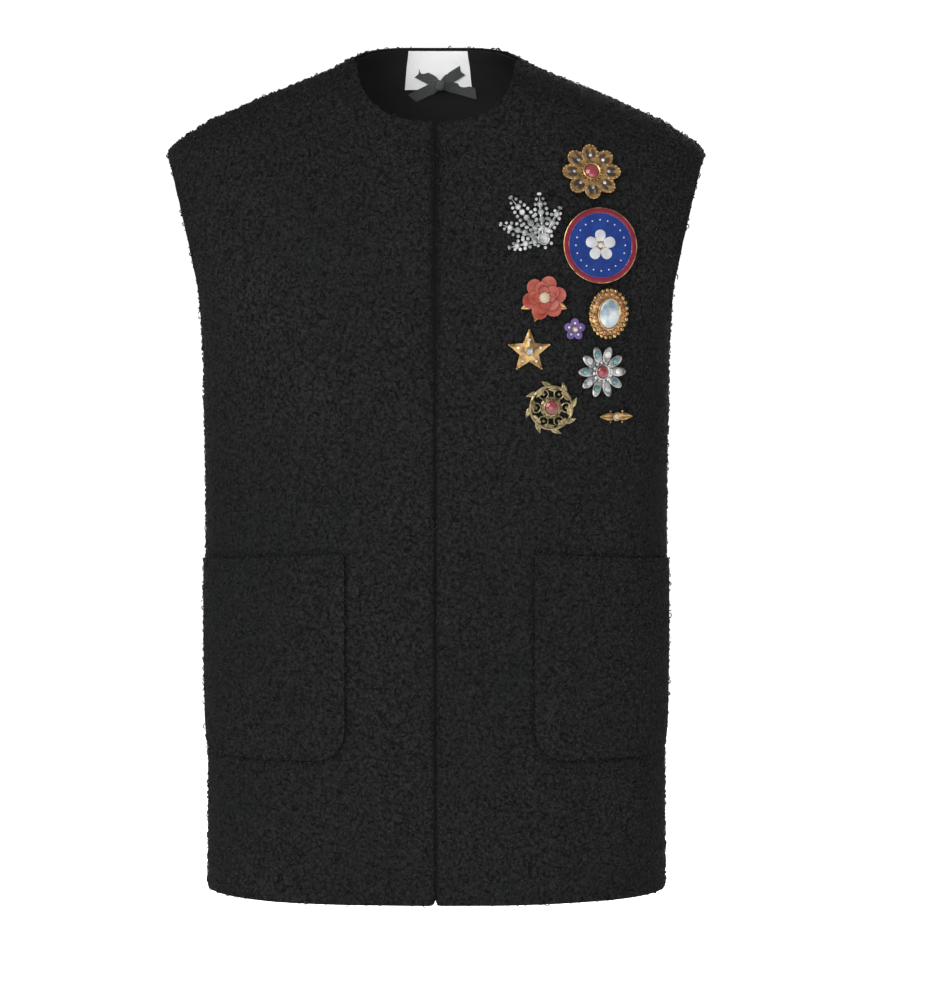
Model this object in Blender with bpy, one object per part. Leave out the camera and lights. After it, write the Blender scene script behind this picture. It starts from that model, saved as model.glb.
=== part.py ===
"""A long sleeveless vest in dark wool boucle, held out as if worn. Metres, +Z up, front towards -Y."""

import math

import bmesh
import bpy
import numpy as np
from mathutils import Vector
from mathutils.geometry import delaunay_2d_cdt

# Cloth and seams
cloth = 0.003
seam_gap = 0.0003
facing_cloth = 0.001
label_cloth = 0.0006
ribbon_cloth = 0.0008

# Outline of the garment, as heights above the shoulder mount
hem_height = -0.7965
underarm_height = -0.245
shoulder_tip_height = -0.066
neck_point_height = 0.032
side_seam_y = 0.012
front_corner_radius = 0.006

# Patch pockets
pocket_top = -0.4540
pocket_top_outer = -0.4660
pocket_bottom = -0.6557
pocket_corner = 0.034
pocket_top_corner = 0.004
pocket_inner_right = 0.0875
pocket_inner_left = 0.0960
pocket_outer_y = -0.028

# Label, ribbon and facing inside the back neck
label_top_width = 0.064
label_bottom_width = 0.069
label_top = 0.0412
label_bottom = 0.0032
label_centre = 0.0015
facing_drop = 0.085
facing_edge = 0.0008

# Spacing of the points inside a panel
edge_row = 0.007
column_step = 0.021
lower_row_step = 0.040
upper_row_step = 0.019

# The plane on which a panel's triangles are drawn: its width, and heights against plane heights
plane_width = 0.3
plane_heights = ((-0.900, -0.100, -0.060, 0.050), (-0.900, -0.100, -0.045, 0.153))

# Horizontal sections of the body: height, half width, depth to the front, depth to the back, squareness
sections = (
    (0.045, 0.0590, 0.018, 0.0600, 2.30),
    (0.033, 0.0768, 0.034, 0.0660, 2.20),
    (0.027, 0.0883, 0.041, 0.0690, 2.20),
    (0.021, 0.0980, 0.047, 0.0715, 2.20),
    (0.015, 0.1115, 0.052, 0.0740, 2.20),
    (0.003, 0.1410, 0.061, 0.0790, 2.20),
    (-0.009, 0.1710, 0.069, 0.0835, 2.22),
    (-0.021, 0.1975, 0.075, 0.0870, 2.26),
    (-0.033, 0.2245, 0.079, 0.0905, 2.32),
    (-0.045, 0.2435, 0.084, 0.0935, 2.40),
    (-0.057, 0.2605, 0.089, 0.0965, 2.48),
    (-0.066, 0.2665, 0.093, 0.0985, 2.54),
    (-0.080, 0.2660, 0.099, 0.1010, 2.62),
    (-0.095, 0.2655, 0.1045, 0.1035, 2.75),
    (-0.115, 0.2637, 0.110, 0.1055, 2.83),
    (-0.135, 0.2600, 0.115, 0.1070, 2.87),
    (-0.155, 0.2548, 0.1185, 0.1080, 2.90),
    (-0.175, 0.2491, 0.1215, 0.1080, 2.87),
    (-0.195, 0.2428, 0.1235, 0.1075, 2.80),
    (-0.215, 0.2376, 0.1250, 0.1068, 2.72),
    (-0.235, 0.2342, 0.1258, 0.1060, 2.64),
    (-0.265, 0.2325, 0.1260, 0.1045, 2.56),
    (-0.315, 0.2320, 0.1255, 0.1035, 2.50),
    (-0.370, 0.2310, 0.1240, 0.1030, 2.50),
    (-0.480, 0.2308, 0.1230, 0.1030, 2.50),
    (-0.650, 0.2302, 0.1232, 0.1040, 2.50),
    (-0.800, 0.2312, 0.1245, 0.1050, 2.50),
)

# Neckline of the fronts: distance from the centre, height
front_neck = (
    (0.0000, -0.0385),
    (0.0140, -0.0378),
    (0.0280, -0.0356),
    (0.0405, -0.0322),
    (0.0500, -0.0278),
    (0.0580, -0.0222),
    (0.0645, -0.0150),
    (0.0700, -0.0070),
    (0.0745, 0.0030),
    (0.0772, 0.0120),
    (0.0782, 0.0215),
)

# Neckline of the back: distance from the centre, height
back_neck = (
    (0.0000, 0.0430),
    (0.0150, 0.0430),
    (0.0300, 0.0428),
    (0.0430, 0.0421),
    (0.0550, 0.0405),
    (0.0650, 0.0381),
    (0.0720, 0.0355),
)

# Armhole: height, depth of its front edge, depth of its back edge
armhole = (
    (-0.066, 0.000, 0.000),
    (-0.070, 0.014, 0.013),
    (-0.080, 0.030, 0.028),
    (-0.095, 0.043, 0.040),
    (-0.115, 0.053, 0.049),
    (-0.135, 0.058, 0.052),
    (-0.155, 0.060, 0.053),
    (-0.175, 0.058, 0.052),
    (-0.195, 0.053, 0.050),
    (-0.213, 0.043, 0.045),
    (-0.227, 0.030, 0.038),
    (-0.238, 0.012, 0.028),
    (-0.244, -0.004, 0.019),
)

# Brooches: name, material, distance from the centre front, height, radius, height of relief
brooches = (
    ("brooch_gold_flower", "gold", 0.150, -0.088, 0.0290, 0.0060),
    ("brooch_silver_spray", "silver", 0.104, -0.152, 0.0520, 0.0040),
    ("brooch_blue_disc", "enamel_blue", 0.158, -0.158, 0.0365, 0.0045),
    ("brooch_coral_rose", "coral", 0.104, -0.208, 0.0240, 0.0085),
    ("brooch_amber_oval", "amber", 0.166, -0.223, 0.0250, 0.0075),
    ("brooch_violet_flower", "violet", 0.1335, -0.238, 0.0110, 0.0045),
    ("brooch_gold_star", "gold", 0.090, -0.259, 0.0220, 0.0045),
    ("brooch_jewel_daisy", "silver", 0.160, -0.279, 0.0260, 0.0060),
    ("brooch_leaf_wreath", "old_gold", 0.111, -0.313, 0.0290, 0.0060),
    ("brooch_leaf_bar", "gold", 0.174, -0.3225, 0.0190, 0.0040),
)

material_looks = {
    "boucle": ((0.017, 0.017, 0.017), 0.0, 0.95),
    "facing": ((0.006, 0.006, 0.006), 0.0, 0.70),
    "label": ((0.80, 0.80, 0.80), 0.0, 0.60),
    "ribbon": ((0.025, 0.027, 0.026), 0.0, 0.55),
    "gold": ((0.55, 0.36, 0.12), 1.0, 0.32),
    "old_gold": ((0.30, 0.24, 0.10), 1.0, 0.40),
    "silver": ((0.70, 0.70, 0.70), 1.0, 0.25),
    "enamel_blue": ((0.02, 0.06, 0.28), 0.0, 0.20),
    "coral": ((0.62, 0.16, 0.11), 0.0, 0.35),
    "amber": ((0.45, 0.20, 0.04), 0.0, 0.20),
    "violet": ((0.14, 0.07, 0.32), 0.0, 0.25),
}


def clear_scene():
    for item in list(bpy.data.objects):
        bpy.data.objects.remove(item, do_unlink=True)


def make_material(name):
    colour, metal, rough = material_looks[name]
    made = bpy.data.materials.new(name)
    made.use_nodes = True
    shader = made.node_tree.nodes["Principled BSDF"]
    shader.inputs["Base Color"].default_value = (*colour, 1.0)
    shader.inputs["Metallic"].default_value = metal
    shader.inputs["Roughness"].default_value = rough
    return made


def add_object(name, mesh_points, mesh_faces, material):
    """One closed piece with its faces turned outwards."""
    mesh = bpy.data.meshes.new(name)
    mesh.from_pydata([tuple(p) for p in mesh_points], [], mesh_faces)
    edit = bmesh.new()
    edit.from_mesh(mesh)
    bmesh.ops.recalc_face_normals(edit, faces=edit.faces)
    if edit.calc_volume(signed=True) < 0:
        bmesh.ops.reverse_faces(edit, faces=edit.faces)
    edit.to_mesh(mesh)
    edit.free()
    mesh.materials.append(materials[material])
    item = bpy.data.objects.new(name, mesh)
    bpy.context.scene.collection.objects.link(item)
    return item


# The form of the body

section_rows = np.array(sections)[::-1]


def tangents(x, y):
    """Slopes for a smooth curve through the rows of a table, with no overshoot."""
    step = np.diff(x)
    slope = np.diff(y) / step
    found = np.zeros(len(x))
    found[0], found[-1] = slope[0], slope[-1]
    for i in range(1, len(x) - 1):
        if slope[i - 1] * slope[i] > 0:
            w1, w2 = 2 * step[i] + step[i - 1], step[i] + 2 * step[i - 1]
            found[i] = (w1 + w2) / (w1 / slope[i - 1] + w2 / slope[i])
    return found


section_tangents = [tangents(section_rows[:, 0], section_rows[:, k]) for k in range(1, 5)]


def section_at(height):
    """Half width, front depth, back depth and squareness at a height."""
    x = section_rows[:, 0]
    height = min(max(height, x[0]), x[-1])
    i = min(max(int(np.searchsorted(x, height)) - 1, 0), len(x) - 2)
    h = x[i + 1] - x[i]
    t = (height - x[i]) / h
    out = []
    for k in range(1, 5):
        y, m = section_rows[:, k], section_tangents[k - 1]
        out.append(
            (2 * t**3 - 3 * t**2 + 1) * y[i]
            + (t**3 - 2 * t**2 + t) * h * m[i]
            + (3 * t**2 - 2 * t**3) * y[i + 1]
            + (t**3 - t**2) * h * m[i + 1]
        )
    return out


half_rings = {}


def half_ring(height):
    """Points of half a section from the centre front to the centre back, and the way along it."""
    key = round(height, 6)
    if key not in half_rings:
        width, front, back, power = section_at(height)
        turn = np.linspace(0, math.pi, 361)
        c, s = np.cos(turn), np.sin(turn)
        x = width * np.abs(s) ** (2 / power)
        depth = np.where(c > 0, front, back)
        y = -np.sign(c) * depth * np.abs(c) ** (2 / power)
        way = np.concatenate([[0], np.cumsum(np.hypot(np.diff(x), np.diff(y)))])
        half_rings[key] = (x, y, way)
    return half_rings[key]


def ring_length(height):
    return half_ring(height)[2][-1]


def way_at_y(height, y):
    """How far round from the centre front the section reaches this depth."""
    _, ys, way = half_ring(height)
    return float(np.interp(y, ys, way))


def way_at_x(height, x, back=False):
    """How far round from its own centre the front or back reaches this distance from the middle."""
    xs, ys, way = half_ring(height)
    if back:
        keep = ys >= 0
        return float(np.interp(x, xs[keep][::-1], way[-1] - way[keep][::-1]))
    keep = ys <= 0
    return float(np.interp(x, xs[keep], way[keep]))


def surface(way, height, back=False):
    """A point of the outer face and its outward direction; way is signed by the side."""
    xs, ys, along = half_ring(height)
    at = abs(way)
    if back:
        at = along[-1] - at
    x, y = float(np.interp(at, along, xs)), float(np.interp(at, along, ys))
    step = 0.0005

    def level(z):
        width, front, rear, power = section_at(z)
        return (x / width) ** power + (abs(y) / (front if y < 0 else rear)) ** power

    width, front, rear, power = section_at(height)
    deep = front if y < 0 else rear
    nx = power * (x / width) ** (power - 1) / width
    ny = power * (abs(y) / deep) ** (power - 1) / deep * (1 if y > 0 else -1)
    nz = (level(height + step) - level(height - step)) / (2 * step)
    side = 1 if way >= 0 else -1
    normal = Vector((side * nx, ny, nz)).normalized()
    return Vector((side * x, y, height)), normal


# Outlines on the pattern, as way round and height


def rounded(corner, before, after, radius, steps=4):
    """Points of a rounded corner between two straight edges."""
    corner, before, after = Vector(corner), Vector(before), Vector(after)
    start = corner + (before - corner).normalized() * radius
    end = corner + (after - corner).normalized() * radius
    out = []
    for i in range(steps + 1):
        t = i / steps
        out.append(start.lerp(corner, t).lerp(corner.lerp(end, t), t))
    return [tuple(p) for p in out]


def stepped(low, high, step):
    """Heights between two ends, about a step apart, without the ends."""
    count = max(1, round((high - low) / step))
    return [low + (high - low) * i / count for i in range(1, count)]


def side_heights():
    return [hem_height] + stepped(hem_height, underarm_height, 0.038) + [underarm_height]


def armhole_ways(back):
    out = []
    for height, front_depth, back_depth in reversed(armhole[1:]):
        y = back_depth + seam_gap if back else -front_depth
        way = way_at_y(height, y)
        out.append((ring_length(height) - way if back else way, height))
    return out


def shoulder_ways(back):
    out = []
    count = 13
    for i in range(count + 1):
        height = shoulder_tip_height + (neck_point_height - shoulder_tip_height) * i / count
        y = seam_gap / 2 if back else -seam_gap / 2
        way = way_at_y(height, y)
        out.append((ring_length(height) - way if back else way, height))
    return out


def outer_edge(back):
    """The side seam, armhole and shoulder, from the hem up to the neck point."""
    y = side_seam_y + (seam_gap / 2 if back else -seam_gap / 2)
    out = []
    for height in side_heights():
        way = way_at_y(height, y)
        out.append((ring_length(height) - way if back else way, height))
    return out + armhole_ways(back) + shoulder_ways(back)


def front_outline():
    """The left front's edge, from the centre of the hem round to the centre of the neck."""
    centre = seam_gap / 2
    hem_end = outer_edge(False)[0][0]
    count = round(hem_end / column_step)
    hem = rounded((centre, hem_height), (centre, 0), (hem_end, hem_height), front_corner_radius)
    hem += [(hem_end * i / count, hem_height) for i in range(1, count)]
    neck = [(way_at_x(height, x), height) for x, height in reversed(front_neck[1:])]
    neck_low = front_neck[0][1]
    corner = rounded((centre, neck_low), (0.014, neck_low), (centre, -1), front_corner_radius)
    centre_line = [(centre, height) for height in reversed(stepped(hem_height, neck_low, 0.040))]
    return hem + outer_edge(False) + neck + corner + centre_line


def back_outline():
    """The whole back's edge, starting at the centre of the hem and going to the wearer's left."""
    side = outer_edge(True)
    hem_end = side[0][0]
    count = round(hem_end / column_step)
    hem = [(hem_end * i / count, hem_height) for i in range(1, count)]
    neck = [(way_at_x(height, x, True), height) for x, height in reversed(back_neck[1:])]
    half = hem + side + neck
    middle = (0.0, back_neck[0][1])
    return [(0.0, hem_height)] + half + [middle] + [(-w, h) for w, h in reversed(half)]


def pocket_outline(inner_x):
    """One pocket's edge on the left front's pattern."""
    middle = (pocket_top + pocket_bottom) / 2
    inner = way_at_x(middle, inner_x)
    outer = way_at_y(middle, pocket_outer_y)
    low_in, low_out = (inner, pocket_bottom), (outer, pocket_bottom)
    top_in, top_out = (inner, pocket_top), (outer, pocket_top_outer)
    edge = rounded(low_in, top_in, low_out, pocket_corner, 6)
    edge += [(inner + (outer - inner) * i / 10, pocket_bottom) for i in range(2, 9)]
    edge += rounded(low_out, low_in, top_out, pocket_corner, 6)
    edge += [(outer, height) for height in stepped(pocket_bottom + pocket_corner, pocket_top_outer, 0.035)]
    edge += rounded(top_out, low_out, top_in, pocket_top_corner, 2)
    for i in range(1, 10):
        share = i / 10
        height = pocket_top_outer + (pocket_top - pocket_top_outer) * share
        edge.append((outer + (inner - outer) * share, height))
    edge += rounded(top_in, top_out, low_in, pocket_top_corner, 2)
    down = stepped(pocket_bottom + pocket_corner, pocket_top, 0.035)
    return edge + [(inner, height) for height in reversed(down)]


def facing_outline():
    """The facing's edge on the back's pattern, a little inside the neckline and shoulders."""
    top = [(way_at_x(h - facing_edge, x, True), h - facing_edge) for x, h in back_neck]
    shoulder = []
    for height in (0.0285, 0.021, 0.013, 0.005):
        shoulder.append((ring_length(height) - way_at_y(height, 0.006), height))
    low = back_neck[0][1] - facing_drop
    curve = []
    end_way, end_height = shoulder[-1]
    for i in range(1, 8):
        t = i / 8
        sweep = math.cos(t * math.pi / 2)
        height = end_height - 0.010 + (low - end_height + 0.010) * math.sin(t * math.pi / 2) ** 0.8
        curve.append((end_way * sweep, height))
    half = top[1:] + shoulder + curve
    return [top[0]] + half + [(0.0, low)] + [(-w, h) for w, h in reversed(half)]


def label_outline():
    """The label's edge on the back's pattern."""
    out = []
    top, bottom = label_top_width / 2, label_bottom_width / 2
    for i in range(6):
        out.append((label_centre - bottom + 2 * bottom * i / 5, label_bottom))
    for i in (1, 2):
        t = i / 3
        out.append((label_centre + bottom + (top - bottom) * t, label_bottom + (label_top - label_bottom) * t))
    for i in range(6):
        out.append((label_centre + top - 2 * top * i / 5, label_top))
    for i in (2, 1):
        t = i / 3
        out.append((label_centre - bottom - (top - bottom) * t, label_bottom + (label_top - label_bottom) * t))
    return out


# Filling an outline with triangles


def inside(point, outline):
    """Whether a pattern point lies inside a closed outline."""
    x, y = point
    found = False
    for (x0, y0), (x1, y1) in zip(outline, outline[1:] + outline[:1]):
        if (y0 > y) != (y1 > y) and x < x0 + (y - y0) / (y1 - y0) * (x1 - x0):
            found = not found
    return found


def distance_to(point, outline):
    """The distance from a pattern point to the nearest edge of an outline."""
    best = 1.0
    at = np.array(point)
    for a, b in zip(outline, outline[1:] + outline[:1]):
        a, b = np.array(a), np.array(b)
        run = b - a
        t = min(max(float((at - a) @ run / max(run @ run, 1e-12)), 0.0), 1.0)
        best = min(best, float(np.linalg.norm(at - a - t * run)))
    return best


def flatten(spot, back):
    """A pattern point on the plane where the triangles are drawn, which keeps their true shape better."""
    way, height = spot
    quarter = way_at_y(height, 0.0)
    if back:
        quarter = ring_length(height) - quarter
    return (way / quarter * plane_width, float(np.interp(height, *plane_heights)))


def unflatten(spot, back):
    """The pattern point of a point on that plane."""
    height = float(np.interp(spot[1], *reversed(plane_heights)))
    quarter = way_at_y(height, 0.0)
    if back:
        quarter = ring_length(height) - quarter
    return (spot[0] / plane_width * quarter, height)


def beside(outline, low):
    """Points a little inside the edges above a height, so that no thin triangle lies along them."""
    out = []
    for (x0, y0), (x1, y1) in zip(outline, outline[1:] + outline[:1]):
        run = math.hypot(x1 - x0, y1 - y0)
        if min(y0, y1) < low or abs(x0) + abs(x1) < 0.002:
            continue
        deep = min(0.8 * run, edge_row)
        for turn in (1, -1):
            spot = (
                (x0 + x1) / 2 - turn * (y1 - y0) / run * deep,
                (y0 + y1) / 2 + turn * (x1 - x0) / run * deep,
            )
            if inside(spot, outline) and distance_to(spot, outline) > 0.6 * deep:
                out.append(spot)
    return out


def fill(outline, inner_outlines, rows, columns):
    """Triangles inside an outline that keep the edges of the outlines lying in it."""
    points = list(outline)
    edges = [(i, (i + 1) % len(outline)) for i in range(len(outline))]
    for inner in inner_outlines:
        start = len(points)
        points += list(inner)
        edges += [(start + i, start + (i + 1) % len(inner)) for i in range(len(inner))]
    spots = [(spot, 0.0, 0.003) for spot in beside(outline, underarm_height - 0.02)]
    spots += [((x, y), near, min(near, 0.009)) for y, near in rows for x in columns]
    for spot, near, inner_near in spots:
        if not inside(spot, outline) or distance_to(spot, outline) < near:
            continue
        if all(distance_to(spot, inner) > inner_near for inner in inner_outlines):
            points.append(spot)
    found = delaunay_2d_cdt([Vector(p) for p in points], edges, [], 1, 1e-6)
    return [tuple(p) for p in found[0]], [tuple(f) for f in found[2]]


def fill_panel(outline, inner_outlines, rows, columns, back):
    """The same for a panel, worked out on the flattened plane."""
    edge = [flatten(spot, back) for spot in outline]
    inner_edges = [[flatten(spot, back) for spot in inner] for inner in inner_outlines]
    flat, triangles = fill(edge, inner_edges, rows, columns)
    return [unflatten(spot, back) for spot in flat], triangles


def wall(name, pattern, triangles, back, lift, thickness, material, mirror=False):
    """A closed wall: the pattern's triangles on the body's form, from lift - thickness to lift."""
    used = sorted({i for t in triangles for i in t})
    index = {v: k for k, v in enumerate(used)}
    outer, inner = [], []
    for v in used:
        place, normal = surface(pattern[v][0], pattern[v][1], back)
        high, low = place + normal * lift, place + normal * (lift - thickness)
        if mirror:
            high.x, low.x = -high.x, -low.x
        outer.append(high)
        inner.append(low)
    faces = [tuple(index[v] for v in t) for t in triangles]
    count = len(used)
    half_edges = {(t[i], t[(i + 1) % 3]) for t in faces for i in range(3)}
    rim = [(a, b) for a, b in half_edges if (b, a) not in half_edges]
    all_faces = list(faces)
    all_faces += [tuple(v + count for v in reversed(t)) for t in faces]
    for a, b in rim:
        all_faces.append((b, a, a + count))
        all_faces.append((b, a + count, b + count))
    return add_object(name, outer + inner, all_faces, material)


def within(pattern, triangles, outline):
    """The triangles whose middle lies inside an outline."""
    out = []
    for t in triangles:
        middle = tuple(sum(pattern[v][k] for v in t) / 3 for k in (0, 1))
        if inside(middle, outline):
            out.append(t)
    return out


# Raised work for the brooches


def place_on_front(x, height, lift):
    """A frame on the left front: middle, rightwards, upwards and outwards."""
    middle, outward = surface(way_at_x(height, x), height)
    up = Vector((0, 0, 1))
    up = (up - outward * up.dot(outward)).normalized()
    right = up.cross(outward).normalized()
    return middle + outward * lift, right, up, outward


def clearance(x, height, radius):
    """How far the cloth rises above the flat back of a brooch of this radius."""
    middle, right, up, outward = place_on_front(x, height, 0.0)
    highest = 0.0
    for ring in (0.5, 1.0):
        for k in range(16):
            turn = 2 * math.pi * k / 16
            spot = middle + right * math.cos(turn) * radius * ring + up * math.sin(turn) * radius * ring
            z = spot.z
            cloth_point, _ = surface(way_at_x(z, max(spot.x, 0.001)), z)
            highest = max(highest, (cloth_point - spot).dot(outward))
    return highest


def relief(name, material, place, outline, profile, segments, rings, back_rise=0.0):
    """A flat backed solid: outline gives a radius and profile a height at each turn."""
    middle, right, up, outward = place
    points, faces = [], []
    edge_height = 0.0012

    def spot(radius, turn, rise):
        return (
            middle
            + right * (math.cos(turn) * radius)
            + up * (math.sin(turn) * radius)
            + outward * rise
        )

    for k in range(segments):
        turn = 2 * math.pi * k / segments
        points.append(spot(outline(turn), turn, 0.0))
    for ring in range(rings):
        share = 1 - ring / rings
        for k in range(segments):
            turn = 2 * math.pi * k / segments
            rise = max(edge_height, profile(share, turn))
            points.append(spot(outline(turn) * share, turn, rise))
    points.append(spot(0.0, 0.0, max(edge_height, profile(0.0, 0.0))))
    points.append(spot(0.0, 0.0, 0.0))
    top, base = len(points) - 2, len(points) - 1
    for ring in range(rings):
        low, high = ring * segments, (ring + 1) * segments
        for k in range(segments):
            n = (k + 1) % segments
            faces.append((low + k, low + n, high + n))
            faces.append((low + k, high + n, high + k))
    last = rings * segments
    for k in range(segments):
        n = (k + 1) % segments
        faces.append((last + k, last + n, top))
        faces.append((n, k, base))
    return add_object(name, points, faces, material)


def lobed(radius, lobes, depth, sharp=1.0, shift=0.0):
    """An outline with equal petals or points."""

    def outline(turn):
        wave = abs(math.cos(lobes * (turn - shift) / 2)) ** sharp
        return radius * (1 - depth + depth * wave)

    return outline


def petals(outline, radius, tall, hollow, heart):
    """Petals that rise and fall, round a raised heart."""

    def profile(share, turn):
        body = tall * (0.45 + 0.55 * outline(turn) / radius) * math.sin(math.pi * min(1.0, 0.15 + share * 0.8))
        body -= hollow * tall * max(0.0, 1 - abs(share - 0.35) / 0.2)
        return body + heart * tall * max(0.0, 1 - (share / 0.34) ** 2)

    return profile


def build_brooches():
    for name, material, x, height, radius, tall in brooches:
        reach = radius * (0.55 if "spray" in name else 1.0)
        place = place_on_front(x, height, seam_gap + clearance(x, height, reach))
        if name == "brooch_gold_flower":
            edge = lobed(radius, 8, 0.20, 0.7)
            relief(name, material, place, edge, petals(edge, radius, tall, 0.35, 0.55), 48, 5)
        elif name == "brooch_silver_spray":
            lean = math.radians(128)

            def edge(turn, radius=radius, lean=lean):
                off = math.degrees(math.atan2(math.sin(turn - lean), math.cos(turn - lean)))
                if abs(off) > 82.5:
                    return 0.009
                reach = 1 - 0.42 * (abs(off) / 82.5) ** 1.2
                leaf = abs(math.cos(math.pi * off / 33)) ** 0.8
                return 0.010 + (radius - 0.010) * reach * leaf

            def rise(share, turn, tall=tall):
                return tall * (0.4 + 0.6 * math.sin(math.pi * min(1.0, 0.2 + share * 0.75)))

            relief(name, material, place, edge, rise, 84, 3)
        elif name == "brooch_blue_disc":

            def rise(share, turn, tall=tall):
                if share > 0.93:
                    return tall * 0.8
                if share > 0.80:
                    return tall
                return tall * (0.55 if share > 0.42 else 0.95)

            relief(name, material, place, lobed(radius, 1, 0.0), rise, 40, 7)
        elif name == "brooch_coral_rose":
            edge = lobed(radius, 6, 0.16, 0.6)
            relief(name, material, place, edge, petals(edge, radius, tall, 0.25, 0.35), 36, 5)
        elif name == "brooch_amber_oval":

            def edge(turn, radius=radius):
                oval = radius * 0.86 / math.hypot(math.cos(turn), 0.86 * math.sin(turn))
                return oval * (0.965 + 0.035 * abs(math.cos(7 * turn)))

            def rise(share, turn, tall=tall):
                if share > 0.72:
                    return tall * 0.5
                return tall * (0.45 + 0.55 * math.sqrt(1 - (share / 0.75) ** 2))

            relief(name, material, place, edge, rise, 42, 6)
        elif name == "brooch_violet_flower":
            edge = lobed(radius, 5, 0.26, 0.7)
            relief(name, material, place, edge, petals(edge, radius, tall, 0.2, 0.5), 30, 3)
        elif name == "brooch_gold_star":
            shift = math.radians(90)

            def edge(turn, radius=radius, shift=shift):
                part = math.radians(36)
                off = abs((turn - shift + part) % (2 * part) - part) / part
                return radius * 0.5 / (0.5 + 0.5 * off * 1.05)

            relief(name, material, place, edge, lambda share, turn, t=tall: t * (1 - 0.7 * share), 40, 3)
        elif name == "brooch_jewel_daisy":
            edge = lobed(radius, 10, 0.18, 0.8)
            relief(name, material, place, edge, petals(edge, radius, tall, 0.35, 0.6), 50, 4)
        elif name == "brooch_leaf_wreath":
            edge = lobed(radius, 12, 0.12, 1.0)

            def rise(share, turn, tall=tall):
                ring = math.exp(-(((share - 0.72) / 0.2) ** 2))
                return tall * (0.25 + 0.5 * ring + 0.75 * max(0.0, 1 - (share / 0.36) ** 2))

            relief(name, material, place, edge, rise, 48, 6)
        else:

            def edge(turn, radius=radius):
                return radius * 0.46 / math.hypot(0.46 * math.cos(turn), math.sin(turn))

            relief(name, material, place, edge, lambda share, turn, t=tall: t * (1 - 0.55 * share**2), 28, 3)


def ribbon_outline():
    """The knotted ribbon seen from the front: four tails that cross at a knot."""
    tails = (
        # direction of a tail in degrees, its length, its width
        (155, 0.0272, 0.0100),
        (206, 0.0345, 0.0095),
        (-14, 0.0400, 0.0095),
        (31, 0.0275, 0.0100),
    )
    knot = 0.0075
    out = []
    for degrees, length, width in tails:
        turn = math.radians(degrees)
        along = Vector((math.cos(turn), math.sin(turn)))
        across = Vector((-along.y, along.x))
        slant = 0.003
        start = along * knot
        end = along * length
        out += [
            start - across * (width / 2),
            end - across * (width / 2) - along * slant,
            end + across * (width / 2),
            start + across * (width / 2),
        ]
    return sorted_round(out)


def sorted_round(points):
    """The points in the order in which their own tails go round the knot."""
    groups = [points[i : i + 4] for i in range(0, len(points), 4)]
    groups.sort(key=lambda g: math.atan2(sum(p.y for p in g), sum(p.x for p in g)))
    return [tuple(p) for g in groups for p in g]


materials = {}


def build():
    clear_scene()
    for name in material_looks:
        materials[name] = make_material(name)

    lower_rows = [(h, 0.010) for h in stepped(hem_height, underarm_height, lower_row_step)]
    upper_rows = [(h, 0.012) for h in [underarm_height] + stepped(underarm_height, -0.100, 0.026)]
    upper_rows += [(h, 0.0125) for h in stepped(-0.115, 0.140, upper_row_step)]
    rows = lower_rows + upper_rows
    front_columns = [column_step * (i + 0.5) for i in range(20)]
    back_columns = [column_step * i for i in range(-20, 21)]

    front_edge = front_outline()
    for side, inner_x, mirror in (("right", pocket_inner_right, True), ("left", pocket_inner_left, False)):
        pocket_edge = pocket_outline(inner_x)
        pattern, triangles = fill_panel(front_edge, [pocket_edge], rows, front_columns, False)
        wall(f"front_{side}", pattern, triangles, False, 0.0, cloth, "boucle", mirror)
        patch = within(pattern, triangles, pocket_edge)
        wall(f"pocket_{side}", pattern, patch, False, seam_gap + cloth, cloth, "boucle", mirror)

    facing_edge_line, label_edge = facing_outline(), label_outline()
    inner = [facing_edge_line, label_edge]
    pattern, triangles = fill_panel(back_outline(), inner, rows, back_columns, True)
    wall("back", pattern, triangles, True, 0.0, cloth, "boucle")
    facing_lift = -(cloth + seam_gap)
    facing = within(pattern, triangles, facing_edge_line)
    wall("back_neck_facing", pattern, facing, True, facing_lift, facing_cloth, "facing")
    label_lift = facing_lift - facing_cloth - seam_gap
    label = within(pattern, triangles, label_edge)
    wall("neck_label", pattern, label, True, label_lift, label_cloth, "label")

    build_ribbon(label_lift - label_cloth - seam_gap)
    build_brooches()


def build_ribbon(lift):
    """The ribbon follows the inside of the back neck, and its knot stands out from it."""
    outline = ribbon_outline()
    centre = (0.0035, 0.0091)
    rows = [(h, 0.0025) for h in stepped(-0.02, 0.02, 0.005)]
    columns = [0.006 * i for i in range(-7, 8)]
    flat, triangles = fill(outline, [], rows, columns)
    outer, inner = [], []
    for x, z in flat:
        place, normal = surface(x + centre[0], z + centre[1], True)
        near = math.hypot(x, z * 1.1)
        proud = 0.0045 * math.exp(-((near / 0.0085) ** 2))
        outer.append(place + normal * lift)
        inner.append(place + normal * (lift - ribbon_cloth - proud))
    count = len(flat)
    half_edges = {(t[i], t[(i + 1) % 3]) for t in triangles for i in range(3)}
    faces = list(triangles) + [tuple(v + count for v in reversed(t)) for t in triangles]
    for a, b in half_edges:
        if (b, a) not in half_edges:
            faces.append((b, a, a + count))
            faces.append((b, a + count, b + count))
    add_object("neck_ribbon", outer + inner, faces, "ribbon")


build()
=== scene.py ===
import math

import bmesh
import bpy
import numpy as np
from mathutils import Matrix, Vector
from mathutils.bvhtree import BVHTree
from mathutils.kdtree import KDTree


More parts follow.
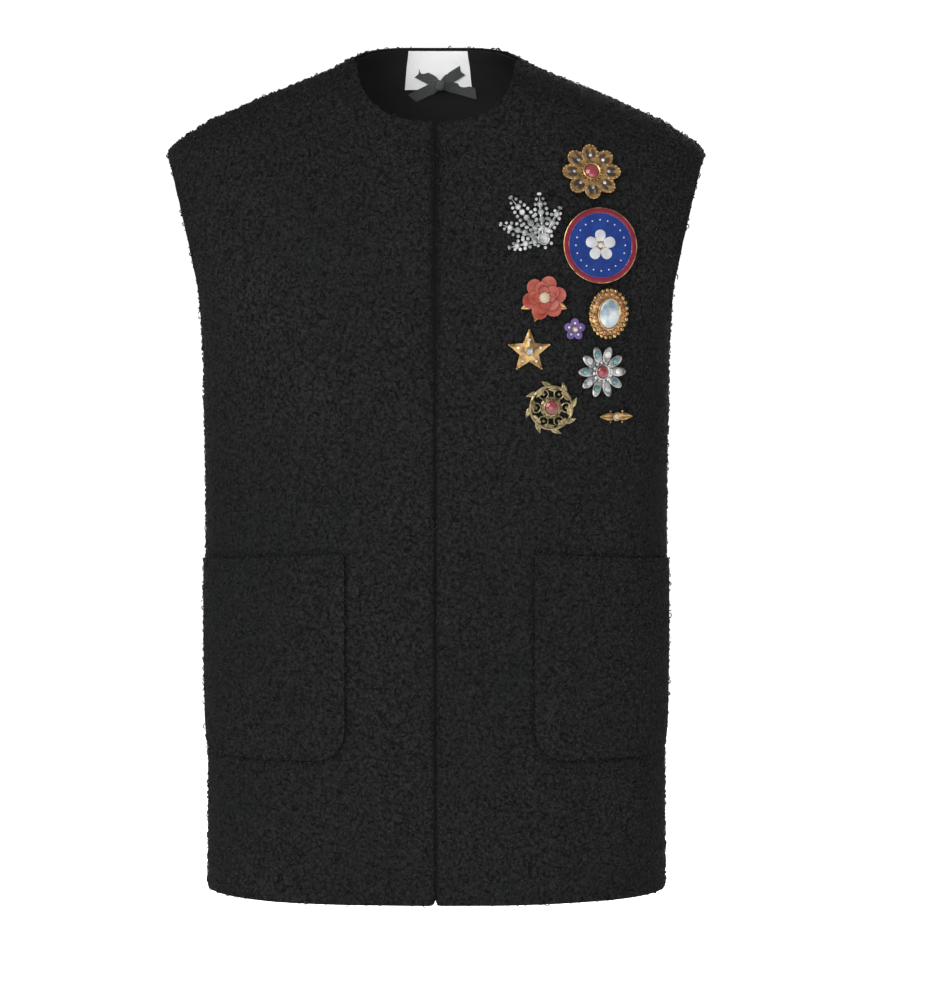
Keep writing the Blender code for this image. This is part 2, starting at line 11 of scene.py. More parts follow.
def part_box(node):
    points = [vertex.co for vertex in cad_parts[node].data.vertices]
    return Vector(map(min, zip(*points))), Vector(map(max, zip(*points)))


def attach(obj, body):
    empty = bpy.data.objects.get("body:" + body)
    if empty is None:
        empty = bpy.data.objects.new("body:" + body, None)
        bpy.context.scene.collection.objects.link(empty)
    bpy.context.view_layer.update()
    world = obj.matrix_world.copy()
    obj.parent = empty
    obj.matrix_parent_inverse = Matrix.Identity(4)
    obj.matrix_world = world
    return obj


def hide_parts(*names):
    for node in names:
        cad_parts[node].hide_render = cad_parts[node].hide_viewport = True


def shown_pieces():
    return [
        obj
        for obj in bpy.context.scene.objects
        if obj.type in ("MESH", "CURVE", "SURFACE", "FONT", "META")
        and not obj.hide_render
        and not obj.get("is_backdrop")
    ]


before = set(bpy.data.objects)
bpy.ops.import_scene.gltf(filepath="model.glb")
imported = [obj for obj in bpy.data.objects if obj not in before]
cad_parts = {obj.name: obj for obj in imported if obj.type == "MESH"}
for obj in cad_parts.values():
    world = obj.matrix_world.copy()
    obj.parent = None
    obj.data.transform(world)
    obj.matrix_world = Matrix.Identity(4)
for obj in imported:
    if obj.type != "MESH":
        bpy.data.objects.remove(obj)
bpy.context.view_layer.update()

# Half sections of the body, from the bottom up: height, half width, front depth, back depth, squareness
bodySections = np.array([
    (-0.800, 0.2312, 0.1245, 0.1050, 2.50),
    (-0.650, 0.2302, 0.1232, 0.1040, 2.50),
    (-0.480, 0.2308, 0.1230, 0.1030, 2.50),
    (-0.370, 0.2310, 0.1240, 0.1030, 2.50),
    (-0.315, 0.2320, 0.1255, 0.1035, 2.50),
    (-0.265, 0.2325, 0.1260, 0.1045, 2.56),
    (-0.235, 0.2342, 0.1258, 0.1060, 2.64),
    (-0.215, 0.2376, 0.1250, 0.1068, 2.72),
    (-0.195, 0.2428, 0.1235, 0.1075, 2.80),
    (-0.175, 0.2491, 0.1215, 0.1080, 2.87),
    (-0.155, 0.2548, 0.1185, 0.1080, 2.90),
    (-0.135, 0.2600, 0.115, 0.1070, 2.87),
    (-0.115, 0.2637, 0.110, 0.1055, 2.83),
    (-0.095, 0.2655, 0.1045, 0.1035, 2.75),
    (-0.080, 0.2660, 0.099, 0.1010, 2.62),
    (-0.066, 0.2665, 0.093, 0.0985, 2.54),
    (-0.057, 0.2605, 0.089, 0.0965, 2.48),
    (-0.045, 0.2435, 0.084, 0.0935, 2.40),
    (-0.033, 0.2245, 0.079, 0.0905, 2.32),
    (-0.021, 0.1975, 0.075, 0.0870, 2.26),
    (-0.009, 0.1710, 0.069, 0.0835, 2.22),
    (0.003, 0.1410, 0.061, 0.0790, 2.20),
    (0.015, 0.1115, 0.052, 0.0740, 2.20),
    (0.021, 0.0980, 0.047, 0.0715, 2.20),
    (0.027, 0.0883, 0.041, 0.0690, 2.20),
    (0.033, 0.0768, 0.034, 0.0660, 2.20),
    (0.045, 0.0590, 0.018, 0.0600, 2.30),
])

# Soft creases of the cloth: side, start x and height, end x and height, half breadth, depth (out is positive)
softCreases = [
    ("front", -0.215, -0.095, -0.120, -0.235, 0.020, -0.0024),
    ("front", -0.180, -0.080, -0.085, -0.170, 0.017, 0.0016),
    ("front", -0.205, -0.245, -0.135, -0.360, 0.024, -0.0027),
    ("front", -0.165, -0.300, -0.120, -0.450, 0.026, 0.0021),
    ("front", -0.060, -0.330, -0.045, -0.560, 0.022, -0.0019),
    ("front", -0.040, -0.640, -0.052, -0.800, 0.020, -0.0018),
    ("front", -0.150, -0.680, -0.160, -0.800, 0.026, 0.0027),
    ("front", 0.060, -0.370, 0.050, -0.560, 0.024, -0.0018),
    ("front", 0.175, -0.360, 0.150, -0.455, 0.022, -0.0021),
    ("front", 0.055, -0.620, 0.070, -0.800, 0.024, 0.0023),
    ("front", 0.150, -0.670, 0.142, -0.800, 0.020, -0.0024),
    ("back", -0.190, -0.100, -0.080, -0.260, 0.024, -0.0041),
    ("back", 0.200, -0.110, 0.095, -0.300, 0.026, -0.0044),
    ("back", -0.050, -0.060, 0.060, -0.095, 0.020, 0.0027),
    ("back", -0.140, -0.330, -0.105, -0.600, 0.028, 0.0044),
    ("back", 0.015, -0.380, 0.030, -0.790, 0.030, -0.0041),
    ("back", 0.150, -0.420, 0.135, -0.790, 0.024, 0.0041),
    ("back", -0.085, -0.560, -0.070, -0.800, 0.022, -0.0034),
]


def slopesOf(x, y):  # smooth slopes with no overshoot between the rows
    step = np.diff(x)
    slope = np.diff(y) / step
    found = np.zeros(len(x))
    found[0], found[-1] = slope[0], slope[-1]
    for i in range(1, len(x) - 1):
        if slope[i - 1] * slope[i] > 0:
            w1, w2 = 2 * step[i] + step[i - 1], step[i] + 2 * step[i - 1]
            found[i] = (w1 + w2) / (w1 / slope[i - 1] + w2 / slope[i])
    return found


sectionSlopes = [slopesOf(bodySections[:, 0], bodySections[:, k]) for k in range(1, 5)]


def sectionAt(z):
    x = bodySections[:, 0]
    z = np.clip(np.asarray(z, float), x[0], x[-1])
    i = np.clip(np.searchsorted(x, z) - 1, 0, len(x) - 2)
    h = x[i + 1] - x[i]
    t = (z - x[i]) / h
    out = []
    for k in range(1, 5):
        y, m = bodySections[:, k], sectionSlopes[k - 1]
        out.append((2 * t**3 - 3 * t**2 + 1) * y[i] + (t**3 - 2 * t**2 + t) * h * m[i]
                   + (3 * t**2 - 2 * t**3) * y[i + 1] + (t**3 - t**2) * h * m[i + 1])
    return out


def levelOf(x, y, z):  # 1 on the outer face of the body, less inside
    width, front, back, power = sectionAt(z)
    deep = np.where(y < 0, front, back)
    return ((np.abs(x) / width) ** power + (np.abs(y) / deep) ** power) ** (1 / power)


def outwardOf(p):
    step = 0.0004
    grad = np.zeros_like(p)
    for k in range(3):
        high, low = p.copy(), p.copy()
        high[:, k] += step
        low[:, k] -= step
        grad[:, k] = levelOf(*high.T) - levelOf(*low.T)
    size = np.linalg.norm(grad, axis=1, keepdims=True)
    return grad / np.maximum(size, 1e-12), size[:, 0] / (2 * step)


def ontoBody(p):  # the nearest point of the outer face at the same height
    level = levelOf(*p.T)
    out = p.copy()
    out[:, :2] /= level[:, None]
    return out


def creaseAt(p):
    total = np.zeros(len(p))
    for side, x0, z0, x1, z1, half, depth in softCreases:
        along = np.array([x1 - x0, z1 - z0])
        run = np.linalg.norm(along)
        rel = np.stack([p[:, 0] - x0, p[:, 2] - z0], axis=1)
        t = rel @ along / run**2
        off = rel - np.clip(t, 0, 1)[:, None] * along
        fade = np.clip((t + 0.15) / 0.35, 0, 1) * np.clip((1.15 - t) / 0.35, 0, 1)
        face = np.clip((p[:, 1] if side == "back" else -p[:, 1]) / 0.03, 0, 1)
        shape = np.exp(-((off**2).sum(1)) / half**2)
        total += depth * shape * fade * fade * (3 - 2 * fade) * face
    return total


# Shader groups, each built once


def newGroup(name, inputs, outputs):
    group = bpy.data.node_groups.new(name, "ShaderNodeTree")
    for title, kind, value in inputs:
        socket = group.interface.new_socket(title, in_out="INPUT", socket_type=kind)
        if value is not None:
            socket.default_value = value
    for title, kind in outputs:
        group.interface.new_socket(title, in_out="OUTPUT", socket_type=kind)
    return group, group.nodes.new("NodeGroupInput"), group.nodes.new("NodeGroupOutput")


def put(tree, kind, links=None, **values):  # a node with its values and what feeds it
    node = tree.nodes.new(kind)
    for key, value in values.items():
        setattr(node, key, value)
    for key, source in (links or {}).items():
        if hasattr(source, "is_output"):
            tree.links.new(source, node.inputs[key])
        else:
            node.inputs[key].default_value = source
    return node


def rampOf(tree, source, stops):
    ramp = tree.nodes.new("ShaderNodeValToRGB")
    for i, (place, shade) in enumerate(stops):
        stop = ramp.color_ramp.elements[i] if i < 2 else ramp.color_ramp.elements.new(place)
        stop.position = place
        stop.color = (shade, shade, shade, 1) if isinstance(shade, float) else (*shade, 1)
    tree.links.new(source, ramp.inputs["Fac"])
    return ramp.outputs["Color"]


def mathOf(tree, kind, a, b, clamp=False):
    return put(tree, "ShaderNodeMath", {0: a, 1: b}, operation=kind, use_clamp=clamp).outputs[0]


def noiseOf(tree, place, scale, detail, output="Fac"):
    links = {"Vector": place, "Scale": scale, "Detail": detail}
    return put(tree, "ShaderNodeTexNoise", links).outputs[output]


def placeOf(tree):
    return put(tree, "ShaderNodeTexCoord").outputs["Object"]


def makeCurlGroup():  # the look of small yarn loops: a height, and how much painted shade falls between the loops
    group, entry, leave = newGroup(
        "curledYarn",
        [("Scale", "NodeSocketFloat", 330.0), ("Twist", "NodeSocketFloat", 0.005)],
        [("Height", "NodeSocketFloat"), ("GapShade", "NodeSocketFloat")])
    place = placeOf(group)
    swirl = noiseOf(group, place, 170.0, 1.0, "Color")
    push = put(group, "ShaderNodeVectorMath", {0: swirl, 1: (0.5, 0.5, 0.5)}, operation="SUBTRACT")
    scaled = put(group, "ShaderNodeVectorMath", {0: push.outputs[0], "Scale": entry.outputs["Twist"]},
                 operation="SCALE")
    moved = put(group, "ShaderNodeVectorMath", {0: place, 1: scaled.outputs[0]}, operation="ADD")
    cells = put(group, "ShaderNodeTexVoronoi", {"Vector": moved.outputs[0], "Scale": entry.outputs["Scale"]},
                feature="F1").outputs["Distance"]
    rings = mathOf(group, "SINE", mathOf(group, "MULTIPLY", cells, 11.0), 0.0)
    hills = mathOf(group, "SUBTRACT", 1.0, cells, True)
    fuzz = noiseOf(group, place, 1300.0, 2.0)
    height = 0.0
    for part, share in ((rings, 0.22), (hills, 0.75), (fuzz, 0.35)):
        height = mathOf(group, "ADD", height, mathOf(group, "MULTIPLY", part, share))
    group.links.new(height, leave.inputs["Height"])
    # painted shade between the loops, strongest away from each cell's middle
    group.links.new(rampOf(group, cells, [(0.35, 0.0), (0.85, 1.0)]), leave.inputs["GapShade"])
    return group


def makeMottleGroup():  # uneven dyeing, from the size of a few loops to the size of a hand
    group, entry, leave = newGroup(
        "mottledDye",
        [("Small", "NodeSocketFloat", 285.0), ("Large", "NodeSocketFloat", 9.0)],
        [(title, "NodeSocketFloat") for title in ("Small Spots", "Large Patches", "Tint")])
    place = placeOf(group)
    for title, scale, detail, low, high in (
            ("Small Spots", entry.outputs["Small"], 2.0, 0.34, 0.66),
            ("Large Patches", entry.outputs["Large"], 1.0, 0.3, 0.7),
            ("Tint", 7.5, 2.0, 0.4, 0.7)):
        spots = noiseOf(group, place, scale, detail)
        group.links.new(rampOf(group, spots, [(low, 0.0), (high, 1.0)]), leave.inputs[title])
    return group


def makeWeaveGroup():  # a fine woven cloth: height of its threads
    group, entry, leave = newGroup(
        "fineWeave",
        [("Across", "NodeSocketFloat", 900.0), ("Up", "NodeSocketFloat", 900.0)],
        [("Height", "NodeSocketFloat"), ("Slubs", "NodeSocketFloat")])
    place = placeOf(group)
    parts = put(group, "ShaderNodeSeparateXYZ", {0: place})
    across, up = (
        mathOf(group, "SINE", mathOf(group, "MULTIPLY", parts.outputs[axis], entry.outputs[title]), 0.0)
        for axis, title in (("X", "Across"), ("Z", "Up")))
    group.links.new(mathOf(group, "MULTIPLY", across, up), leave.inputs["Height"])
    group.links.new(noiseOf(group, place, 420.0, 2.0), leave.inputs["Slubs"])
    return group


def makeTarnishGroup():  # dull and bright patches of worn metal
    group, entry, leave = newGroup(
        "wornMetal", [("Scale", "NodeSocketFloat", 160.0)],
        [("Dull", "NodeSocketFloat"), ("Height", "NodeSocketFloat")])
    place = placeOf(group)
    spots = noiseOf(group, place, entry.outputs["Scale"], 3.0)
    group.links.new(rampOf(group, spots, [(0.38, 0.0), (0.68, 1.0)]), leave.inputs["Dull"])
    group.links.new(spots, leave.inputs["Height"])
    return group


curlGroup, mottleGroup = makeCurlGroup(), makeMottleGroup()
weaveGroup, tarnishGroup = makeWeaveGroup(), makeTarnishGroup()
print("shader groups made")


def startMaterial(name, roughness, specular=0.3):
    made = bpy.data.materials.new(name)
    made.use_nodes = True
    tree = made.node_tree
    shader = tree.nodes["Principled BSDF"]
    shader.inputs["Roughness"].default_value = roughness
    shader.inputs["Specular IOR Level"].default_value = specular
    return made, tree, shader


def useGroup(tree, group, **values):
    node = tree.nodes.new("ShaderNodeGroup")
    node.node_tree = group
    for key, value in values.items():
        node.inputs[key].default_value = value
    return node


def blendOf(tree, factor, a, b, kind="MIX"):
    node = tree.nodes.new("ShaderNodeMix")
    node.data_type, node.blend_type = "RGBA", kind
    for key, source in ((0, factor), (6, a), (7, b)):
        if hasattr(source, "is_output"):
            tree.links.new(source, node.inputs[key])
        else:
            node.inputs[key].default_value = source if key == 0 else (*source, 1)
    return node.outputs[2]


def bumpInto(tree, shader, height, strength, distance):
    bump = put(tree, "ShaderNodeBump", {"Height": height, "Strength": strength, "Distance": distance})
    tree.links.new(bump.outputs["Normal"], shader.inputs["Normal"])


woolLook = {
    # colour of painted shade, in the gaps between loops and in the grooves of seams
    "dark": (0.0038, 0.0038, 0.0039),
    "mid": (0.0070, 0.0071, 0.0071),
    "light": (0.0210, 0.0210, 0.0208),
    "coolTint": (0.0085, 0.0120, 0.0104),
    "tintShare": 0.30,
    "patchShare": 0.22,
    # edgeShadeTone and edgeShadeBlend: painted shade, darker where the cloth turns away from the view
    "edgeShadeTone": 0.45,
    "edgeShadeBlend": 0.3,
    # dipShadeTone: painted shade in the grooves of seams, the front opening and along the pockets
    "dipShadeTone": 1.1,
    "bumpStrength": 0.9,
    "bumpDepth": 0.0018,
}


def makeWool(name, lift, bumps=True):
    look = woolLook
    made, tree, shader = startMaterial(name, 0.95, 0.04)
    curls = useGroup(tree, curlGroup)
    mottle = useGroup(tree, mottleGroup)
    colour = blendOf(tree, mottle.outputs["Small Spots"], look["mid"], look["light"])
    colour = blendOf(tree, mathOf(tree, "MULTIPLY", mottle.outputs["Tint"], look["tintShare"]),
                     colour, look["coolTint"])
    if bumps:
        # painted shade in the gaps between the loops
        colour = blendOf(tree, curls.outputs["GapShade"], colour, look["dark"])
    patches = mathOf(tree, "MULTIPLY", mottle.outputs["Large Patches"], look["patchShare"])
    colour = blendOf(tree, patches, colour, look["mid"])
    # lift brightens the whole colour: the loops' copy is drawn lighter than the cloth beneath, as a painted
    # highlight on the raised loops
    colour = blendOf(tree, 1.0, colour, (lift, lift, lift), "MULTIPLY")
    # painted shade: the colour darkens where the surface turns away from the view, at the sides and edges
    paintedEdgeShade = put(tree, "ShaderNodeLayerWeight", {"Blend": look["edgeShadeBlend"]}).outputs["Facing"]
    edge = [look["edgeShadeTone"] * lift * k for k in look["mid"]]
    colour = blendOf(tree, paintedEdgeShade, colour, edge)
    if bumps:
        # painted shade along the seams, the front opening and the pocket edges, read from each point
        dipsAndShade = put(tree, "ShaderNodeAttribute", attribute_name="dipsAndShade").outputs["Fac"]
        colour = blendOf(tree, dipsAndShade, colour, [k * look["dipShadeTone"] for k in look["dark"]])
    tree.links.new(colour, shader.inputs["Base Color"])
    if bumps:
        bumpInto(tree, shader, curls.outputs["Height"], look["bumpStrength"], look["bumpDepth"])
    else:
        bumpInto(tree, shader, noiseOf(tree, placeOf(tree), 1500.0, 1.0), 0.5, 0.0005)
    return made


def makeWoven(name, low, high, roughness, across, up, depth):
    made, tree, shader = startMaterial(name, roughness, 0.25)
    weave = useGroup(tree, weaveGroup, Across=across, Up=up)
    colour = blendOf(tree, weave.outputs["Slubs"], low, high)
    tree.links.new(colour, shader.inputs["Base Color"])
    bumpInto(tree, shader, weave.outputs["Height"], 0.5, depth)
    return made


def makeMetal(name, bright, dull, roughness):
    made, tree, shader = startMaterial(name, roughness, 0.5)
    worn = useGroup(tree, tarnishGroup)
    tree.links.new(blendOf(tree, worn.outputs["Dull"], bright, dull), shader.inputs["Base Color"])
    rough = mathOf(tree, "ADD", mathOf(tree, "MULTIPLY", worn.outputs["Dull"], 0.22), roughness)
    tree.links.new(rough, shader.inputs["Roughness"])
    shader.inputs["Metallic"].default_value = 1.0
    bumpInto(tree, shader, worn.outputs["Height"], 0.25, 0.0004)
    return made


def makeEnamel(name, low, high, roughness, coat=0.6, specular=0.4):
    made, tree, shader = startMaterial(name, roughness, specular)
    worn = useGroup(tree, tarnishGroup, Scale=90.0)
    tree.links.new(blendOf(tree, worn.outputs["Dull"], low, high), shader.inputs["Base Color"])
    shader.inputs["Coat Weight"].default_value = coat
    shader.inputs["Coat Roughness"].default_value = 0.05
    bumpInto(tree, shader, worn.outputs["Height"], 0.12, 0.0003)
    return made


finish = {
    # the same wool twice: the cloth beneath at lift 1.00, the loops lighter as a painted highlight
    "wool": makeWool("charcoalBoucle", 1.00),
    "curls": makeWool("charcoalCurls", 1.475, False),
    "facing": makeWoven(
        "neckFacing", (0.0028, 0.0028, 0.0029), (0.0052, 0.0052, 0.0053), 0.7, 2400.0, 2400.0, 0.0002),
    "label": makeWoven(
        "paleLabel", (0.77, 0.77, 0.77), (0.84, 0.84, 0.84), 0.55, 5200.0, 5200.0, 0.00015),
    "ribbon": makeWoven(
        "greyRibbon", (0.031, 0.034, 0.033), (0.060, 0.064, 0.062), 0.6, 300.0, 4200.0, 0.0003),
    "gold": makeMetal("brightGold", (0.42, 0.27, 0.115), (0.11, 0.058, 0.022), 0.26),
    "oldGold": makeMetal("oliveGold", (0.27, 0.22, 0.12), (0.075, 0.058, 0.028), 0.34),
    "silver": makeMetal("paleSilver", (0.36, 0.36, 0.35), (0.10, 0.10, 0.10), 0.24),
    # clear stones: their dark and pale patches are a painted reflection of darker surroundings
    "clear": makeEnamel("clearStone", (0.12, 0.13, 0.14), (0.52, 0.52, 0.50), 0.05, 1.0),
    "brown": makeEnamel("brownEnamel", (0.014, 0.0065, 0.003), (0.045, 0.020, 0.008), 0.25, 0.3),
    "blue": makeEnamel("blueEnamel", (0.0040, 0.0175, 0.105), (0.0065, 0.0260, 0.140), 0.32, 0.06, 0.15),
    "red": makeEnamel("redStone", (0.10, 0.006, 0.010), (0.19, 0.014, 0.020), 0.12),
    "rim": makeEnamel("redRim", (0.105, 0.0060, 0.019), (0.140, 0.0090, 0.026), 0.32, 0.06, 0.15),
    "white": makeEnamel("whiteEnamel", (0.30, 0.30, 0.31), (0.40, 0.40, 0.41), 0.35, 0.06, 0.2),
    "coral": makeEnamel("coralResin", (0.20, 0.032, 0.022), (0.30, 0.075, 0.052), 0.40, 0.1, 0.2),
    "cream": makeEnamel("creamResin", (0.30, 0.23, 0.16), (0.38, 0.31, 0.23), 0.40, 0.1, 0.2),
    "amber": makeEnamel("amberStone", (0.13, 0.038, 0.006), (0.26, 0.095, 0.020), 0.10, 0.8),
    "pale": makeEnamel("paleCabochon", (0.11, 0.16, 0.20), (0.42, 0.44, 0.44), 0.10, 0.8),
    "violet": makeEnamel("violetEnamel", (0.045, 0.024, 0.10), (0.09, 0.055, 0.17), 0.30, 0.1, 0.2),
    "teal": makeEnamel("tealStone", (0.02, 0.075, 0.085), (0.055, 0.16, 0.16), 0.12, 0.8),
}
print("materials made")


# Cloth: each panel is a copy of its solid, drawn finer and laid on the smooth form


def finishMesh(name, bm, slots, sharp=38.0):
    mesh = bpy.data.meshes.new(name)
    for face in bm.faces:
        face.smooth = True
    for edge in bm.edges:
        edge.smooth = not (edge.is_manifold and edge.calc_face_angle(0.0) > math.radians(sharp))
    bm.to_mesh(mesh)
    bm.free()
    for slot in slots:
        mesh.materials.append(finish[slot])
    made = bpy.data.objects.new(name, mesh)
    bpy.context.scene.collection.objects.link(made)
    return made


def coordsOf(bm):
    return np.array([v.co for v in bm.verts], float)


def setCoords(bm, coords):
    for v, p in zip(bm.verts, coords):
        v.co = p


def depthsOf(p, layers):  # which of the wall's two faces each point of the solid belongs to
    _, steep = outwardOf(p)
    rough = (1 - levelOf(*p.T)) / steep
    middle = (layers[0] + layers[1]) / 2
    return np.where(rough < middle, layers[0], layers[1])


sewn = {
    "side": 0.012,
    "underarm": -0.243,
    "shoulderTip": -0.067,
    "near": 0.0004,
    "breadth": 0.0020,
    "depth": 0.0012,
    # tone: strength of the painted shade along the seams
    "tone": 0.8,
}
# the last value is the breadth of the painted shade where the fronts meet
openingLook = {"near": 0.0003, "breadth": 0.0042, "depth": 0.0019, "dark": 0.0022}
pocketEdge = {
    "sharp": 50.0,
    "bare": 0.0025,
    "breadth": 0.0029,
    # tone: strength of the painted shade along the pocket's sewn edge
    "tone": 0.60,
    "depth": 0.0007,
    "within": 0.002,
    "reach": 0.008,
}


def readPocket(node):  # its solid, and points close together along its sewn edges, without the mouth
    low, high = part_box(node)
    bm = bmesh.new()
    bm.from_mesh(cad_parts[node].data)
    bmesh.ops.remove_doubles(bm, verts=bm.verts[:], dist=1e-5)
    solid = BVHTree.FromBMesh(bm)
    spots, steps = [], 10
    for edge in bm.edges:
        a, b = (v.co for v in edge.verts)
        level = abs(a.z - b.z) < 0.5 * (a - b).length
        mouth = level and a.z > (low.z + high.z) / 2
        sharp = edge.is_manifold and edge.calc_face_angle(0.0) > math.radians(pocketEdge["sharp"])
        if sharp and not mouth:
            spots += [a.lerp(b, k / steps) for k in range(steps)]
    bm.free()
    tree = KDTree(len(spots))
    for k, spot in enumerate(spots):
        tree.insert(spot, k)
    tree.balance()
    return solid, tree


pocketSolids, pocketOutlines = {}, {}
for side in ("left", "right"):
    pocketSolids[side], pocketOutlines[side] = readPocket(f"pocket_{side}")


def pocketWay(p, node):  # how far each point of a front lies from its pocket's sewn edge
    outline = pocketOutlines[node.split("_")[1]]
    return np.array([outline.find(spot)[2] for spot in p])


def makeShell(name, node, layers, sink, rounds, slots, puff=0.0):
    bm = bmesh.new()
    bm.from_mesh(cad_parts[node].data)
    bmesh.ops.remove_doubles(bm, verts=bm.verts[:], dist=1e-5)
    layer = bm.verts.layers.float.new("depth")
    for v, d in zip(bm.verts, depthsOf(coordsOf(bm), layers)):
        v[layer] = d
    for _ in range(rounds):
        bmesh.ops.subdivide_edges(bm, edges=bm.edges[:], cuts=1, use_grid_fill=True)
    p = coordsOf(bm)
    depth = np.array([v[layer] for v in bm.verts])
    out, _ = outwardOf(p)
    base = ontoBody(p + out * depth[:, None])
    out, _ = outwardOf(base)
    share = (depth - layers[0]) / (layers[1] - layers[0])  # 0 on the outer face, 1 on the inner
    wanted = depth + sink * (1 - share)
    wanted -= puff * (1 - share) * puffAt(base, node)
    final = base - out * (wanted - creaseAt(base))[:, None]
    if "pocket" not in node:  # the sewn edges meet with no light between them
        side = (np.abs(base[:, 1] - sewn["side"]) < sewn["near"]) & (base[:, 2] < sewn["underarm"])
        shoulder = (np.abs(base[:, 1]) < sewn["near"]) & (base[:, 2] > sewn["shoulderTip"])
        final[:, 1] = np.where(side, sewn["side"], np.where(shoulder, 0.0, final[:, 1]))
        sideWay = np.abs(base[:, 1] - sewn["side"]) + 9 * (base[:, 2] > sewn["underarm"])
        shoulderWay = np.abs(base[:, 1]) + 9 * (base[:, 2] < sewn["shoulderTip"])
        # painted shade along the side and shoulder seams, which also sinks the cloth slightly there
        dipsAndShade = sewn["tone"] * np.exp(-((np.minimum(sideWay, shoulderWay) / sewn["breadth"]) ** 2))
        final -= out * (sewn["depth"] * dipsAndShade * (1 - share))[:, None]
    if "front" in node:  # the two fronts meet at the middle, and their edges roll in to a shallow groove with painted shade along it
        near = np.clip(1 - np.abs(base[:, 0]) / openingLook["breadth"], 0, 1) * (base[:, 1] < 0)
        final -= out * (openingLook["depth"] * near**2 * (1 - share))[:, None]
        meets = (np.abs(base[:, 0]) < openingLook["near"]) & (base[:, 1] < 0)
        final[:, 0] = np.where(meets, 0.0, final[:, 0])
        # painted shade down the middle where the two fronts meet
        dipsAndShade = np.maximum(dipsAndShade, np.exp(-((base[:, 0] / openingLook["dark"]) ** 2)) * (base[:, 1] < 0))
        # painted shade along the pocket's sewn edge, which also sinks the front slightly there
        sewnDown = pocketEdge["tone"] * np.exp(-((pocketWay(base, node) / pocketEdge["breadth"]) ** 2))
        final -= out * (pocketEdge["depth"] * sewnDown * (1 - share))[:, None]
        dipsAndShade = np.maximum(dipsAndShade, sewnDown)
    if "pocket" not in node:
        # stores the painted shade of each point for the wool
        shade = bm.verts.layers.float.new("dipsAndShade")
        for v, dip in zip(bm.verts, dipsAndShade):
            v[shade] = dip
    setCoords(bm, final)
    bm.normal_update()
    bm.faces.layers.int.new("outer")
    outer = bm.faces.layers.int["outer"]
    for face in bm.faces:
        face[outer] = sum(v[layer] for v in face.verts) / 3 < layers[0] + 0.2 * (layers[1] - layers[0])
    places = placesOn(bm, outer)
    made = finishMesh(name, bm, slots)
    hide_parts(node)
    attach(made, "root")
    return made, places


def puffAt(p, node):  # a pocket stands a little fuller in its middle
    if "pocket" not in node:
        return np.zeros(len(p))
    low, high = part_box(node)
    up = np.clip((p[:, 2] - low.z) / (high.z - low.z), 0, 1)
    across = np.clip((np.abs(p[:, 0]) - min(abs(low.x), abs(high.x))) / (high.x - low.x), 0, 1)
    return np.clip(6 * up, 0, 1) * np.clip(8 * across, 0, 1) * (0.15 + 0.85 * np.sin(math.pi * up))


def placesOn(bm, outer):  # triangles that carry yarn loops: the outer face and the cut edges
    corners, normals, isFace = [], [], []
    for face in bm.faces:
        corners.append([tuple(v.co) for v in face.verts])
        normals.append(tuple(face.normal))
        isFace.append(face[outer])
    return np.array(corners), np.array(normals), np.array(isFace, bool)


curlLook = {
    "spacing": 0.0066,
    "backSpacing": 0.0071,
    "mouthSpacing": 0.0038,
    "radius": (0.0015, 0.0027),
    "yarn": 0.00060,
    "tilt": (0.06, 0.60),
    "edgeScale": 0.78,
    "sink": 0.0006,
    "tries": 6,
    "drawnRadius": 0.0023,  # the loop that its yarn's thickness is drawn for
    "arcs": ((300, 0.30), (255, 0.45), (215, 0.60)),  # degrees round, and how far it leaves its plane
}


def makeCurlTemplates():
    found = []
    for arc, lift in curlLook["arcs"]:
        bm = bmesh.new()
        turn = Matrix.Rotation(math.radians(90), 4, "X")
        ring = bmesh.ops.create_circle(
            bm, segments=3, radius=curlLook["yarn"] / curlLook["drawnRadius"],
            matrix=Matrix.Translation((1, 0, 0)) @ turn)
        geom = ring["verts"] + list({e for v in ring["verts"] for e in v.link_edges})
        bmesh.ops.spin(bm, geom=geom, cent=(0, 0, 0), axis=(0, 0, 1), angle=math.radians(arc), steps=5)
        bmesh.ops.holes_fill(bm, edges=[e for e in bm.edges if e.is_boundary], sides=3)
        for v in bm.verts:  # the loop leaves its own plane as it goes round
            v.co.z += lift * math.sin(1.5 * math.atan2(v.co.y, v.co.x))
        bmesh.ops.triangulate(bm, faces=bm.faces[:])
        bmesh.ops.recalc_face_normals(bm, faces=bm.faces[:])
        bm.verts.index_update()
        faces = np.array([[v.index for v in f.verts] for f in bm.faces])
        found.append((coordsOf(bm), faces))
        bm.free()
    return found


curlTemplates = makeCurlTemplates()


def thinOut(points, size):  # at most one point in each small cell
    cells = np.floor(points / size).astype(np.int64)
    _, first = np.unique(cells, axis=0, return_index=True)
    return np.sort(first)


